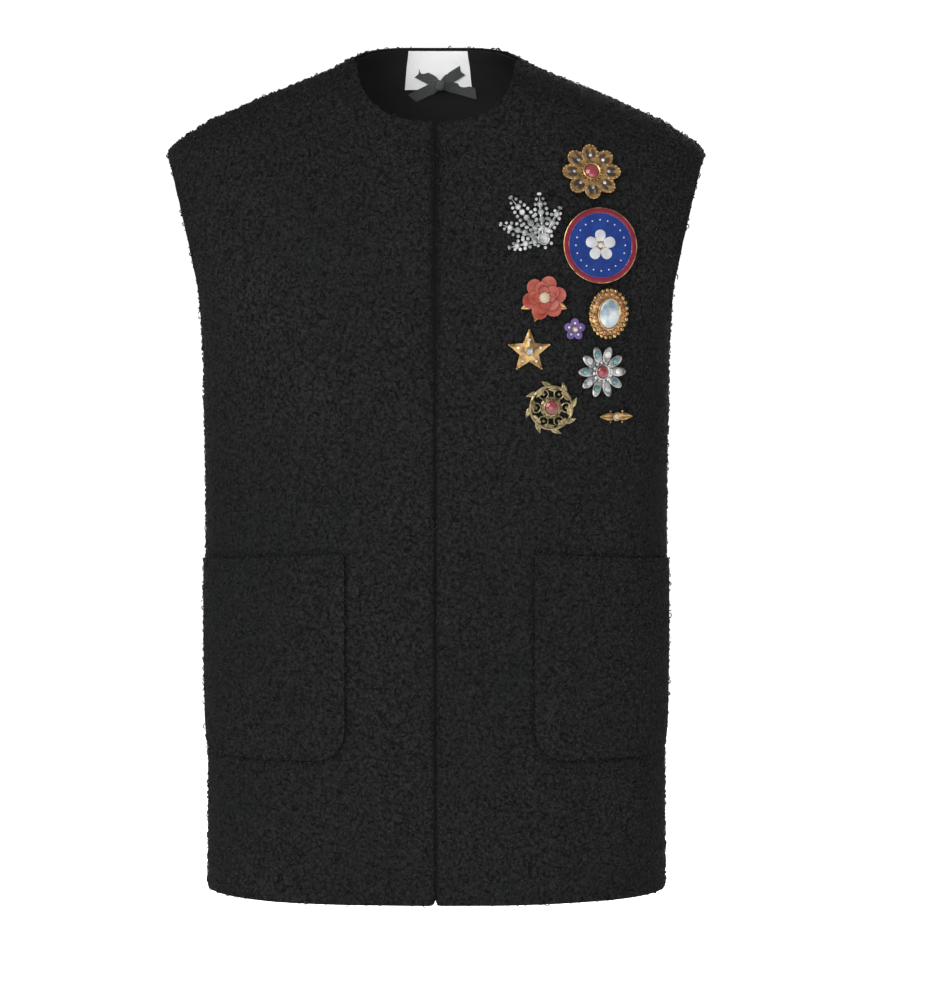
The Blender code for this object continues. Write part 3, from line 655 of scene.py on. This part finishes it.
def scatterCurls(name, places, seed, keep, spacing):
    look = curlLook
    corners, normals, isFace = places
    rng = np.random.default_rng(seed)
    a, b, c = corners[:, 0], corners[:, 1], corners[:, 2]
    size = np.linalg.norm(np.cross(b - a, c - a), axis=1)
    middle = corners.mean(1)
    size = size * keep(middle, normals, isFace)
    count = int(size.sum() / 2 / spacing**2 * look["tries"])
    pick = rng.choice(len(size), count, p=size / size.sum())
    u, v = rng.random((2, count, 1))
    u, v = np.where(u + v > 1, 1 - u, u), np.where(u + v > 1, 1 - v, v)
    spots = a[pick] + u * (b[pick] - a[pick]) + v * (c[pick] - a[pick])
    first = thinOut(spots, spacing)
    spots, out = spots[first], normals[pick[first]]
    count = len(spots)
    helper = np.where(np.abs(out[:, 2:3]) < 0.9, (0.0, 0.0, 1.0), (1.0, 0.0, 0.0))
    right = np.cross(helper, out)
    right /= np.linalg.norm(right, axis=1, keepdims=True)
    up = np.cross(out, right)
    spin = rng.random(count) * 2 * math.pi
    c1, s1 = np.cos(spin)[:, None], np.sin(spin)[:, None]
    ax, ay = right * c1 + up * s1, up * c1 - right * s1
    tilt = rng.uniform(*look["tilt"], count)[:, None]
    ay, az = ay * np.cos(tilt) + out * np.sin(tilt), out * np.cos(tilt) - ay * np.sin(tilt)
    scale = rng.uniform(*look["radius"], count)
    scale *= np.where(isFace[pick[first]], 1.0, look["edgeScale"])  # smaller loops on the cut edges
    kind = rng.integers(0, len(curlTemplates), count)
    allPoints, allFaces, start = [], [], 0
    for k, (shape, faces) in enumerate(curlTemplates):
        mine = kind == k
        size = scale[mine][:, None, None]
        local = shape[None] * size
        world = (spots[mine] - out[mine] * look["sink"])[:, None, :] \
            + local[..., 0:1] * ax[mine][:, None, :] + local[..., 1:2] * ay[mine][:, None, :] \
            + local[..., 2:3] * az[mine][:, None, :]
        n = int(mine.sum())
        allPoints.append(world.reshape(-1, 3))
        allFaces.append((faces[None] + start + len(shape) * np.arange(n)[:, None, None]).reshape(-1, 3))
        start += n * len(shape)
    points, faces = np.concatenate(allPoints), np.concatenate(allFaces)
    mesh = bpy.data.meshes.new(name)
    mesh.vertices.add(len(points))
    mesh.vertices.foreach_set("co", points.ravel())
    mesh.loops.add(len(faces) * 3)
    mesh.loops.foreach_set("vertex_index", faces.ravel())
    mesh.polygons.add(len(faces))
    mesh.polygons.foreach_set("loop_start", np.arange(len(faces)) * 3)
    mesh.polygons.foreach_set("use_smooth", np.ones(len(faces), bool))
    mesh.update(calc_edges=True)
    mesh.materials.append(finish["curls"])
    made = bpy.data.objects.new(name, mesh)
    bpy.context.scene.collection.objects.link(made)
    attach(made, "root")
    print(name, count, "loops,", len(faces), "triangles")
    return made


bareStrip = {"inSeam": 0.0008, "side": 0.0016, "shoulder": 0.0014, "opening": 0.0034, "openingTop": -0.030}


def nearSeams(p, shoulderReach, sideReach):
    shoulder = (np.abs(p[:, 1]) < shoulderReach) & (p[:, 2] > sewn["shoulderTip"])
    side = (np.abs(p[:, 1] - sewn["side"]) < sideReach) & (p[:, 2] < sewn["underarm"])
    return shoulder | side


def sewnEdge(p):  # edges that face each other inside the shoulder and side seams
    return nearSeams(p, bareStrip["inSeam"], bareStrip["inSeam"])


def atOpening(p):  # bare of loops: the meeting fronts, and a hair's breadth beside each seam
    front = (np.abs(p[:, 0]) < bareStrip["opening"]) & (p[:, 1] < 0) & (p[:, 2] < bareStrip["openingTop"])
    return front | nearSeams(p, bareStrip["shoulder"], bareStrip["side"])


jewels = {  # distance from the centre front, height, radius: as on the solids
    "brooch_gold_flower": (0.150, -0.088, 0.0290),
    "brooch_silver_spray": (0.104, -0.152, 0.0520),
    "brooch_blue_disc": (0.158, -0.158, 0.0365),
    "brooch_coral_rose": (0.104, -0.208, 0.0240),
    "brooch_amber_oval": (0.166, -0.223, 0.0250),
    "brooch_violet_flower": (0.1335, -0.238, 0.0110),
    "brooch_gold_star": (0.090, -0.259, 0.0220),
    "brooch_jewel_daisy": (0.160, -0.279, 0.0260),
    "brooch_leaf_wreath": (0.111, -0.313, 0.0290),
    "brooch_leaf_bar": (0.174, -0.3225, 0.0190),
}


def underJewels(p):
    hidden = np.zeros(len(p), bool)
    for name, (x, z, radius) in jewels.items():
        reach = radius * (0.35 if "spray" in name else 0.88)
        hidden |= ((p[:, 0] - x) ** 2 + (p[:, 2] - z) ** 2 < reach**2) & (p[:, 1] < 0)
    return hidden


def underPocket(p, node):
    solid = pocketSolids[node.split("_")[1]]
    within, reach = pocketEdge["within"], pocketEdge["reach"]
    out, _ = outwardOf(p)
    hits = [solid.ray_cast(Vector(a - b * within), Vector(b), reach)[0] for a, b in zip(p, out)]
    return np.array([hit is not None for hit in hits])


def outsideOnly(p, normals, isFace):  # the cut edges count too, but not the inner face or a seam
    radial, _ = outwardOf(p)
    facing = (normals * radial).sum(1)
    edge = ~isFace & (np.abs(facing) < 0.5) & ~sewnEdge(p)
    return (isFace | edge) & ~atOpening(p)


def curlParts(node):  # the loops of a large panel are shared between a few meshes
    middle = -0.40
    if "pocket" in node:
        return [("", lambda p: p[:, 2] < 1), ("Mouth", lambda p: p[:, 2] < 1)]
    if "front" in node:
        return [("Upper", lambda p: p[:, 2] > middle), ("Lower", lambda p: p[:, 2] <= middle)]
    return [
        ("UpperLeft", lambda p: (p[:, 2] > middle) & (p[:, 0] > 0)),
        ("UpperRight", lambda p: (p[:, 2] > middle) & (p[:, 0] <= 0)),
        ("LowerLeft", lambda p: (p[:, 2] <= middle) & (p[:, 0] > 0)),
        ("LowerRight", lambda p: (p[:, 2] <= middle) & (p[:, 0] <= 0)),
    ]


def keepFor(node, inPart):
    def keep(p, normals, isFace):
        good = outsideOnly(p, normals, isFace) & inPart(p)
        if node == "front_left":
            good &= ~underJewels(p)
        if "front" in node:
            good &= ~underPocket(p, node) & (pocketWay(p, node) > pocketEdge["bare"])
        return good
    return keep


def keepMouth(p, normals, isFace):  # the upper edge of a pocket carries more loops
    return ~isFace & (normals[:, 2] > 0.5)


panelFacts = {  # solid: width and length of the cut, its area, rounds of splitting
    "front_right": (0.318, 0.845, 0.2421, 2),
    "front_left": (0.318, 0.845, 0.2421, 2),
    "back": (0.605, 0.850, 0.4522, 2),
    "pocket_right": (0.190, 0.203, 0.0360, 2),
    "pocket_left": (0.182, 0.203, 0.0345, 2),
}
titles = {
    "front_right": "frontRight", "front_left": "frontLeft", "back": "backPanel",
    "pocket_right": "pocketRight", "pocket_left": "pocketLeft",
}
for seed, (node, (wide, long, area, rounds)) in enumerate(panelFacts.items()):
    pocket = "pocket" in node
    layers = (-0.0033, -0.0003) if pocket else (0.0, 0.003)
    title = titles[node]
    shell, places = makeShell(title, node, layers, 0.0010, rounds, ["wool"], 0.0012 if pocket else 0.0)
    for order, (part, inPart) in enumerate(curlParts(node)):
        keep = keepMouth if part == "Mouth" else keepFor(node, inPart)
        kind = "mouthSpacing" if part == "Mouth" else "backSpacing" if node == "back" else "spacing"
        scatterCurls(
            f"{title}Curls{part}", places, 20 + 5 * seed + order, keep, curlLook[kind])
    print(title, "laid on the form")
print("cloth made")


# Inside the back neck: facing, blank label and knotted ribbon

facing, _ = makeShell("backNeckFacing", "back_neck_facing", (0.0033, 0.0043), 0.0, 2, ["facing"])

label, _ = makeShell("neckLabel", "neck_label", (0.0046, 0.0052), 0.0, 2, ["label"])


def bodyPoint(x, z, depth):  # a point inside the back neck, this deep below the outer face
    width, _, back, power = (float(k) for k in sectionAt(z))
    y = back * max(0.0, 1 - (abs(x) / width) ** power) ** (1 / power)
    place = np.array([[x, y, z]])
    out, _ = outwardOf(place)
    return Vector(place[0] - out[0] * depth)


ribbonLook = {
    "centre": (0.0035, 0.0088),
    "width": 0.0104,
    "thick": 0.0007,
    "notch": 0.0027,
    "slant": 0.0040,
    "twist": 0.0011,
    "knotDepth": 0.0092,
    "tails": (  # direction in degrees, length
        (155, 0.0270),
        (206, 0.0343),
        (-14, 0.0398),
        (31, 0.0273),
    ),
}


def makeRibbon():
    look = ribbonLook
    bm = bmesh.new()
    for order, (degrees, length) in enumerate(look["tails"]):
        turn = math.radians(degrees)
        along = Vector((math.cos(turn), math.sin(turn)))
        across = Vector((-along.y, along.x))
        grid = bmesh.ops.create_grid(bm, x_segments=14, y_segments=5, size=0.5)
        for v in grid["verts"]:
            t, s = v.co.x + 0.5, v.co.y
            pinch = 0.42 + 0.58 * min(1.0, t / 0.30) ** 0.8
            tip = max(0.0, (t - 0.75) / 0.25)  # the upper tails end in a notch, the lower ones on the slant
            cut = look["notch"] * (1 - abs(2 * s)) if order in (0, 3) else look["slant"] * (s + 0.5)
            flat = along * (length * t - cut * tip) + across * (look["width"] * s * pinch)
            lift = 0.0058 + 0.0030 * math.exp(-((t / 0.22) ** 2)) + 0.0005 * math.sin(5.5 * t + order)
            lift += 0.0006 * (1 - pinch) * math.cos(9 * s) + 0.00035 * order * math.exp(-t * 4)
            lift += look["twist"] * s * math.sin(2.6 * t + 1.3 * order)
            v.co = bodyPoint(look["centre"][0] + flat.x, look["centre"][1] + flat.y, lift)
    bmesh.ops.recalc_face_normals(bm, faces=bm.faces[:])
    for face in bm.faces:
        if face.normal.y > 0:
            face.normal_flip()
    bmesh.ops.solidify(bm, geom=bm.faces[:], thickness=look["thick"])
    knot = bmesh.ops.create_uvsphere(bm, u_segments=20, v_segments=12, radius=1.0)
    place = bodyPoint(*look["centre"], look["knotDepth"])
    for v in knot["verts"]:
        x, y, z = (math.copysign(abs(k) ** 0.6, k) for k in v.co)
        groove = 1 + 0.06 * math.sin(7 * v.co.x + 2 * v.co.z)
        v.co = place + Vector((x * 0.0046 + z * 0.0010, y * 0.0021 * groove, z * 0.0052))
    return finishMesh("neckRibbon", bm, ["ribbon"], 60)


ribbon = makeRibbon()
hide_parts("neck_ribbon")
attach(ribbon, "root")
print("neck made")


# Brooches: ordinary flowers, leaves, a star and plain stones, each built flat and then set on the cloth


def paint(bm, verts, slot):
    for v in verts:
        for face in v.link_faces:
            face.material_index = slot
    return verts


def addBead(bm, at, radius, slot, high=1.0, detail=2):
    place = Matrix.Translation(at) @ Matrix.Diagonal((1, 1, high, 1))
    made = bmesh.ops.create_icosphere(bm, subdivisions=detail, radius=radius, matrix=place)
    return paint(bm, made["verts"], slot)


def addDome(bm, at, rx, ry, high, slot, around=20, rows=8):
    place = Matrix.Translation(at) @ Matrix.Diagonal((rx, ry, high, 1))
    made = bmesh.ops.create_uvsphere(bm, u_segments=around, v_segments=rows, radius=1.0, matrix=place)
    return paint(bm, made["verts"], slot)


def addStone(bm, at, radius, slot, around=8):  # a cut stone: its table and the slopes round it
    x, y, z = at
    crown = bmesh.ops.create_cone(
        bm, cap_ends=True, segments=around, radius1=radius, radius2=radius * 0.58, depth=radius * 0.42,
        matrix=Matrix.Translation((x, y, z + radius * 0.21)))
    base = bmesh.ops.create_cone(
        bm, cap_ends=True, segments=around, radius1=radius * 0.5, radius2=radius, depth=radius * 0.5,
        matrix=Matrix.Translation((x, y, z - radius * 0.25)))
    return paint(bm, crown["verts"] + base["verts"], slot)


def addRing(bm, at, rx, ry, tube, slot, around=32, sides=8, high=1.0):
    turn = Matrix.Rotation(math.radians(90), 4, "X")
    start = bmesh.ops.create_circle(
        bm, segments=sides, radius=tube, matrix=Matrix.Translation((rx, 0, 0)) @ turn)
    before = set(bm.verts) - set(start["verts"])
    geom = start["verts"] + list({e for v in start["verts"] for e in v.link_edges})
    bmesh.ops.spin(
        bm, geom=geom, cent=(0, 0, 0), axis=(0, 0, 1), angle=2 * math.pi, steps=around, use_merge=True)
    verts = [v for v in bm.verts if v not in before]
    for v in verts:
        v.co = Vector((v.co.x, v.co.y * ry / rx, v.co.z * high)) + Vector(at)
    return paint(bm, verts, slot)


def addPetal(bm, at, turn, length, width, thick, slot, bowl=0.0, point=0.0, rise=0.0, groove=0.0):
    made = bmesh.ops.create_uvsphere(bm, u_segments=14, v_segments=8, radius=1.0)
    spin = Matrix.Rotation(turn, 3, "Z")
    for v in made["verts"]:
        x, y, z = v.co
        along = (x + 1) / 2
        narrow = 1 - point * along**2.2
        body = Vector((along * length, y * width / 2 * narrow, z * thick / 2))
        body.z += bowl * (x * x + y * y - 0.5) + rise * along**1.5
        body.z -= groove * math.exp(-((y / 0.22) ** 2)) * (z > 0)
        v.co = spin @ body + Vector(at)
    return paint(bm, made["verts"], slot)


def roundPoints(count, radius, shift=0.0, squash=1.0):
    for k in range(count):
        turn = 2 * math.pi * k / count + shift
        yield turn, (radius * math.cos(turn), radius * squash * math.sin(turn))


def setOnCloth(name, bm, node, slots):
    x, z, _ = jewels[node]
    width, front, _, power = (float(k) for k in sectionAt(z))
    y = -front * (1 - (x / width) ** power) ** (1 / power)
    middle = np.array([[x, y, z]])
    outward = Vector(outwardOf(middle)[0][0])
    middle = Vector(middle[0])
    lift = min((v.co - middle).dot(outward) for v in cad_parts[node].data.vertices)
    up = (Vector((0, 0, 1)) - outward * outward.z).normalized()
    right = up.cross(outward).normalized()
    turn = Matrix((right, up, outward)).transposed().to_4x4()
    bm.transform(Matrix.Translation(middle + outward * lift) @ turn)
    bmesh.ops.recalc_face_normals(bm, faces=bm.faces[:])
    made = finishMesh(name, bm, slots, 30)
    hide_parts(node)
    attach(made, "root")
    return made


def makeGoldFlower():
    bm = bmesh.new()
    addDome(bm, (0, 0, 0.0004), 0.0165, 0.0165, 0.0016, 0, 24, 6)
    for turn, (x, y) in roundPoints(8, 0.0075):
        addPetal(bm, (x, y, 0.0018), turn, 0.0212, 0.0165, 0.0020, 0, 0.0012, 0.0, 0.0004, 0.0006)
        for k in range(9):  # a beaded edge on each petal
            bend = math.radians(-100 + 25 * k)
            bx, by = 0.0106 + 0.0098 * math.cos(bend), 0.0074 * math.sin(bend)
            spot = Matrix.Rotation(turn, 3, "Z") @ Vector((bx, by, 0)) + Vector((x, y, 0.0030))
            addBead(bm, spot, 0.00115, 0, 1.0, 1)
        spin = Matrix.Rotation(turn, 3, "Z")
        for side in (1, -1):
            spot = spin @ Vector((0.0118, side * 0.0030, 0)) + Vector((x, y, 0.0024))
            addPetal(bm, spot - spin @ Vector((0.0052, 0, 0)), turn, 0.0104, 0.0050, 0.0014, 3, 0.0, 0.2)
        addStone(bm, (x * 2.25, y * 2.25, 0.0036), 0.0017, 2)
    addRing(bm, (0, 0, 0.0040), 0.0079, 0.0079, 0.0011, 0)
    for turn, (x, y) in roundPoints(18, 0.0096):
        addBead(bm, (x, y, 0.0034), 0.0011, 0, 1.0, 1)
    addDome(bm, (0, 0, 0.0032), 0.0070, 0.0070, 0.0036, 1)
    return setOnCloth("goldFlowerBrooch", bm, "brooch_gold_flower", ["gold", "red", "clear", "brown"])


def makeSilverSpray():
    bm = bmesh.new()
    lean = math.radians(128)
    for off in (-66, -33, 0, 33, 66):
        turn = lean + math.radians(off)
        length = 0.052 * (1 - 0.42 * (abs(off) / 82.5) ** 1.2)
        spin = Matrix.Rotation(turn, 3, "Z")
        rim = max(5, round(length / 0.0048))
        for side in (1, -1):  # small stones round the leaf
            for i in range(rim):
                t = (i + 1.0) / (rim + 0.2)
                half = length * 0.125 * math.sin(math.pi * t**1.25) ** 0.8
                spot = spin @ Vector((length * t, side * half, 0.0018))
                addStone(bm, spot, 0.0014 + 0.0005 * math.sin(math.pi * t), 1, 6)
                addBead(bm, spot - Vector((0, 0, 0.0006)), 0.0017, 0, 0.6, 1)
        for i in range(max(3, rim // 2)):  # larger stones down its middle
            t = 0.26 + 0.50 * i / max(2, rim // 2 - 1)
            spot = spin @ Vector((length * t, 0, 0.0022))
            addRing(bm, spot - Vector((0, 0, 0.0006)), 0.0026, 0.0026, 0.0005, 0, 12, 5)
            addStone(bm, spot, 0.0025 - 0.0005 * abs(t - 0.5), 1)
        addPetal(bm, (0, 0, 0.0006), turn, length * 0.97, 0.0030, 0.0010, 0, 0.0, 0.5)
    addRing(bm, (0, 0, 0.0022), 0.0052, 0.0052, 0.0008, 0, 18, 6)
    addStone(bm, (0, 0, 0.0022), 0.0050, 1, 10)
    for turn, (x, y) in roundPoints(7, 0.0082, 0.4):
        addStone(bm, (x, y, 0.0012), 0.0017, 1)
    return setOnCloth("silverSprayBrooch", bm, "brooch_silver_spray", ["silver", "clear"])


def makeBlueDisc():
    bm = bmesh.new()
    radius = 0.0365
    plate = bmesh.ops.create_cone(
        bm, cap_ends=True, segments=64, radius1=radius - 0.0006, radius2=radius - 0.0006, depth=0.0020,
        matrix=Matrix.Translation((0, 0, 0.0010)))
    paint(bm, plate["verts"], 0)
    face = bmesh.ops.create_cone(
        bm, cap_ends=True, segments=64, radius1=radius - 0.0048, radius2=radius - 0.0052, depth=0.0012,
        matrix=Matrix.Translation((0, 0, 0.0024)))
    paint(bm, face["verts"], 1)
    addRing(bm, (0, 0, 0.0024), radius - 0.0030, radius - 0.0030, 0.0025, 2, 64, 8, 0.55)
    addRing(bm, (0, 0, 0.0025), radius - 0.0052, radius - 0.0052, 0.00055, 0, 64, 6)
    addRing(bm, (0, 0, 0.0022), radius - 0.0006, radius - 0.0006, 0.0007, 0, 64, 6)
    for turn, (x, y) in roundPoints(5, 0.0030, math.radians(90)):
        addPetal(bm, (x, y, 0.0030), turn, 0.0122, 0.0100, 0.0014, 3, 0.0003, -0.25)
    addRing(bm, (0, 0, 0.0034), 0.0034, 0.0034, 0.0006, 0, 20, 6)
    addBead(bm, (0, 0, 0.0032), 0.0028, 3, 0.6)
    for turn, (x, y) in roundPoints(20, 0.0245):
        addBead(bm, (x, y, 0.0031), 0.0009, 3, 0.5, 1)
    slots = ["gold", "blue", "rim", "white"]
    return setOnCloth("blueDiscBrooch", bm, "brooch_blue_disc", slots)


def makeCoralRose():
    bm = bmesh.new()
    for turn in (math.radians(205), math.radians(248), math.radians(335)):
        addPetal(bm, (0.010 * math.cos(turn), 0.010 * math.sin(turn), 0.0012), turn,
                 0.0145, 0.0092, 0.0016, 2, 0.0, 0.75, 0.0002, 0.0006)
    for count, reach, length, width, high, rise, shift in (
            (6, 0.0050, 0.0165, 0.0158, 0.0014, 0.0022, 0.2),
            (5, 0.0032, 0.0125, 0.0125, 0.0030, 0.0030, 0.6),
            (4, 0.0018, 0.0085, 0.0088, 0.0046, 0.0026, 0.1)):
        for turn, (x, y) in roundPoints(count, reach, shift):
            addPetal(bm, (x, y, high), turn, length, width, 0.0017, 0, 0.0013, 0.0, rise)
    addDome(bm, (0, 0, 0.0060), 0.0052, 0.0052, 0.0026, 1)
    for turn, (x, y) in roundPoints(9, 0.0044):
        addBead(bm, (x, y, 0.0074), 0.0009, 1, 1.0, 1)
    return setOnCloth("coralRoseBrooch", bm, "brooch_coral_rose", ["coral", "cream", "gold"])


def makeAmberOval():
    bm = bmesh.new()
    rx, ry = 0.0207, 0.0245
    addDome(bm, (0, 0, 0.0006), rx - 0.0010, ry - 0.0010, 0.0024, 0, 36, 8)
    for k in range(26):  # scalloped edge
        turn = 2 * math.pi * k / 26
        at = ((rx - 0.0017) * math.cos(turn), (ry - 0.0017) * math.sin(turn), 0.0018)
        addBead(bm, at, 0.0022, 0, 0.8, 2)
    for k in range(16):
        turn = 2 * math.pi * (k + 0.5) / 16
        at = ((rx - 0.0061) * math.cos(turn), (ry - 0.0061) * math.sin(turn), 0.0030)
        addStone(bm, at, 0.0023, 1)
    addRing(bm, (0, 0, 0.0036), rx - 0.0094, ry - 0.0098, 0.0010, 0, 36, 6)
    addDome(bm, (0, 0, 0.0030), rx - 0.0098, ry - 0.0102, 0.0044, 2, 28, 12)
    return setOnCloth("amberOvalBrooch", bm, "brooch_amber_oval", ["gold", "amber", "pale"])


def makeVioletFlower():
    bm = bmesh.new()
    for turn, (x, y) in roundPoints(5, 0.0018, 0.3):
        addPetal(bm, (x, y, 0.0014), turn, 0.0090, 0.0082, 0.0014, 0, 0.0006)
        addStone(bm, (x * 3.3, y * 3.3, 0.0022), 0.0012, 1)
    addRing(bm, (0, 0, 0.0026), 0.0024, 0.0024, 0.0006, 2, 16, 6)
    addStone(bm, (0, 0, 0.0026), 0.0023, 1)
    return setOnCloth("violetFlowerBrooch", bm, "brooch_violet_flower", ["violet", "clear", "gold"])


def makeGoldStar():
    bm = bmesh.new()
    outer, inner = 0.0218, 0.0098
    ring = bmesh.ops.create_circle(bm, cap_ends=True, segments=10, radius=1.0)
    verts = sorted(ring["verts"], key=lambda v: math.atan2(v.co.y, v.co.x))
    for k, v in enumerate(verts):
        turn = math.radians(90 + 36 * k)
        reach = outer if k % 2 == 0 else inner
        v.co = (reach * math.cos(turn), reach * math.sin(turn), 0)
    top = bmesh.ops.extrude_face_region(bm, geom=bm.faces[:])
    rim = [g for g in top["geom"] if isinstance(g, bmesh.types.BMVert)]
    for v in rim:
        v.co.z += 0.0012
    crown = [f for f in bm.faces if all(v in rim for v in f.verts)]
    peak = bmesh.ops.poke(bm, faces=crown)
    for v in peak["verts"]:
        v.co.z += 0.0030
    paint(bm, bm.verts, 0)
    for k in range(5):
        turn = math.radians(90 + 72 * k)
        addBead(bm, (outer * 0.93 * math.cos(turn), outer * 0.93 * math.sin(turn), 0.0016), 0.0013, 0, 1.0, 2)
        addStone(bm, (outer * 0.52 * math.cos(turn), outer * 0.52 * math.sin(turn), 0.0030), 0.0014, 1)
    addRing(bm, (0, 0, 0.0040), 0.0040, 0.0040, 0.0008, 0, 20, 6)
    addStone(bm, (0, 0, 0.0042), 0.0038, 1, 10)
    return setOnCloth("goldStarBrooch", bm, "brooch_gold_star", ["gold", "clear"])


def makeJewelDaisy():
    bm = bmesh.new()
    addDome(bm, (0, 0, 0.0004), 0.0150, 0.0150, 0.0016, 0, 24, 6)
    for k, (turn, (x, y)) in enumerate(roundPoints(10, 0.0086)):
        slot = 1 if k % 2 == 0 else 2
        addPetal(bm, (x, y, 0.0020), turn, 0.0165, 0.0090, 0.0016, 0, 0.0004, 0.1)
        addDome(bm, (x * 2.0, y * 2.0, 0.0028), 0.0034, 0.0034, 0.0020, slot, 14, 6)
        addBead(bm, (x * 2.72, y * 2.72, 0.0024), 0.0013, 0, 1.0, 1)
    addRing(bm, (0, 0, 0.0036), 0.0068, 0.0068, 0.0010, 0, 28, 6)
    for turn, (x, y) in roundPoints(12, 0.0090, 0.15):
        addStone(bm, (x, y, 0.0034), 0.0016, 1)
    addDome(bm, (0, 0, 0.0034), 0.0060, 0.0060, 0.0034, 3)
    slots = ["silver", "clear", "teal", "red"]
    return setOnCloth("jewelDaisyBrooch", bm, "brooch_jewel_daisy", slots)


def makeLeafWreath():
    bm = bmesh.new()
    addRing(bm, (0, 0, 0.0018), 0.0205, 0.0205, 0.0013, 0, 48, 6)
    for k, (turn, (x, y)) in enumerate(roundPoints(16, 0.0205)):  # leaves lean in and out by turns
        lean = turn + math.radians(62 if k % 2 == 0 else 118)
        addPetal(bm, (x * 0.97, y * 0.97, 0.0016), lean, 0.0112, 0.0062, 0.0013, 0, 0.0, 0.85, 0.0006, 0.0005)
    for turn, (x, y) in roundPoints(8, 0.0205, 0.2):
        addBead(bm, (x, y, 0.0034), 0.0014, 0, 1.0, 1)
    for turn, (x, y) in roundPoints(6, 0.0148):  # open wirework between ring and heart
        addRing(bm, (x, y, 0.0018), 0.0046, 0.0046, 0.0006, 0, 18, 5)
        addBead(bm, (x, y, 0.0018), 0.0016, 0, 1.0, 1)
    for turn, (x, y) in roundPoints(12, 0.0098, 0.26):
        addBead(bm, (x, y, 0.0030), 0.0013, 0, 1.0, 1)
    addDome(bm, (0, 0, 0.0008), 0.0105, 0.0105, 0.0020, 0, 24, 6)
    addRing(bm, (0, 0, 0.0036), 0.0072, 0.0072, 0.0010, 0, 28, 6)
    addDome(bm, (0, 0, 0.0034), 0.0066, 0.0066, 0.0034, 1)
    return setOnCloth("leafWreathBrooch", bm, "brooch_leaf_wreath", ["oldGold", "red"])


def makeLeafBar():
    bm = bmesh.new()
    for turn in (0.0, math.pi):
        at = (0.0012 * math.cos(turn), 0, 0.0014)
        addPetal(bm, at, turn, 0.0172, 0.0088, 0.0018, 0, 0.0, 0.8, 0.0004, 0.0008)
        for side in (1, -1):
            addBead(bm, (0.0065 * math.cos(turn), side * 0.0052, 0.0016), 0.0012, 0, 1.0, 1)
    addRing(bm, (0, 0, 0.0024), 0.0036, 0.0036, 0.0008, 0, 18, 6)
    addBead(bm, (0, 0, 0.0030), 0.0031, 1, 0.8)
    return setOnCloth("leafBarBrooch", bm, "brooch_leaf_bar", ["gold", "cream"])


for makeOne in (makeGoldFlower, makeSilverSpray, makeBlueDisc, makeCoralRose, makeAmberOval,
                makeVioletFlower, makeGoldStar, makeJewelDaisy, makeLeafWreath, makeLeafBar):
    made = makeOne()
    print(made.name, len(made.data.polygons), "faces")


# Floor, light and camera

studio = {
    "floorHeight": -1.38,
    "floorTone": 0.92,
    "floorGlow": 0.6,
    "skyStrength": 1.08,
    "skyOnThings": 0.62,
    "keyPower": 125.0,
    "fillPower": 42.0,
    "backPower": 190.0,
    "backFillPower": 46.0,
    "sidePower": 17.0,
    "cameraPlace": (0.0335, -3.1, -0.185),
    "cameraTilt": 4.125,
    "lens": 112.32,
}


def makeStudio():
    bm = bmesh.new()
    bmesh.ops.create_grid(
        bm, x_segments=1, y_segments=1, size=60.0, matrix=Matrix.Translation((0, 0, studio["floorHeight"])))
    mesh = bpy.data.meshes.new("floor")
    bm.to_mesh(mesh)
    bm.free()
    floorLook, tree, shader = startMaterial("paleFloor", 0.9, 0.1)
    tone = studio["floorTone"]
    shader.inputs["Base Color"].default_value = (tone, tone, tone, 1)
    shader.inputs["Emission Color"].default_value = (1, 1, 1, 1)
    shader.inputs["Emission Strength"].default_value = studio["floorGlow"]
    mesh.materials.append(floorLook)
    floor = bpy.data.objects.new("floor", mesh)
    bpy.context.scene.collection.objects.link(floor)
    floor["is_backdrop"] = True

    world = bpy.data.worlds.new("studioSky")
    world.use_nodes = True
    tree = world.node_tree
    sky = tree.nodes["Background"]
    sky.inputs["Color"].default_value = (1, 1, 1, 1)
    seen = put(tree, "ShaderNodeLightPath").outputs["Is Camera Ray"]  # white backdrop, softer light on things
    extra = mathOf(tree, "MULTIPLY", seen, studio["skyStrength"] - studio["skyOnThings"])
    tree.links.new(mathOf(tree, "ADD", extra, studio["skyOnThings"]), sky.inputs["Strength"])
    bpy.context.scene.world = world

    for name, place, size, power in (
            ("keyLight", (-1.6, -2.9, 1.5), 2.6, studio["keyPower"]),
            ("fillLight", (0.5, -3.4, -1.0), 2.4, studio["fillPower"]),
            ("backLight", (1.5, 3.3, 1.7), 2.2, studio["backPower"]),
            ("backFill", (-1.6, 3.1, -0.4), 2.6, studio["backFillPower"]),
            ("leftLight", (-3.2, 1.5, 0.9), 2.4, studio["sidePower"]),
            ("rightLight", (3.2, 1.3, 0.6), 2.4, studio["sidePower"])):
        lamp = bpy.data.lights.new(name, "AREA")
        lamp.size, lamp.energy = size, power
        holder = bpy.data.objects.new(name, lamp)
        bpy.context.scene.collection.objects.link(holder)
        holder.location = place
        holder.rotation_euler = (Vector((0, 0, -0.35)) - Vector(place)).to_track_quat("-Z", "Y").to_euler()

    eye = bpy.data.cameras.new("photoCamera")
    eye.lens, eye.sensor_width = studio["lens"], 36.0
    holder = bpy.data.objects.new("photoCamera", eye)
    bpy.context.scene.collection.objects.link(holder)
    holder.location = studio["cameraPlace"]
    holder.rotation_euler = (math.radians(90 - studio["cameraTilt"]), 0, 0)
    bpy.context.scene.camera = holder
    bpy.context.scene.view_settings.view_transform = "Standard"
    bpy.context.scene.view_settings.look = "None"


makeStudio()
print("studio made")

total = sum(len(o.data.loop_triangles) or len(o.data.polygons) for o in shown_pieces() if o.type == "MESH")
print("faces shown:", total)
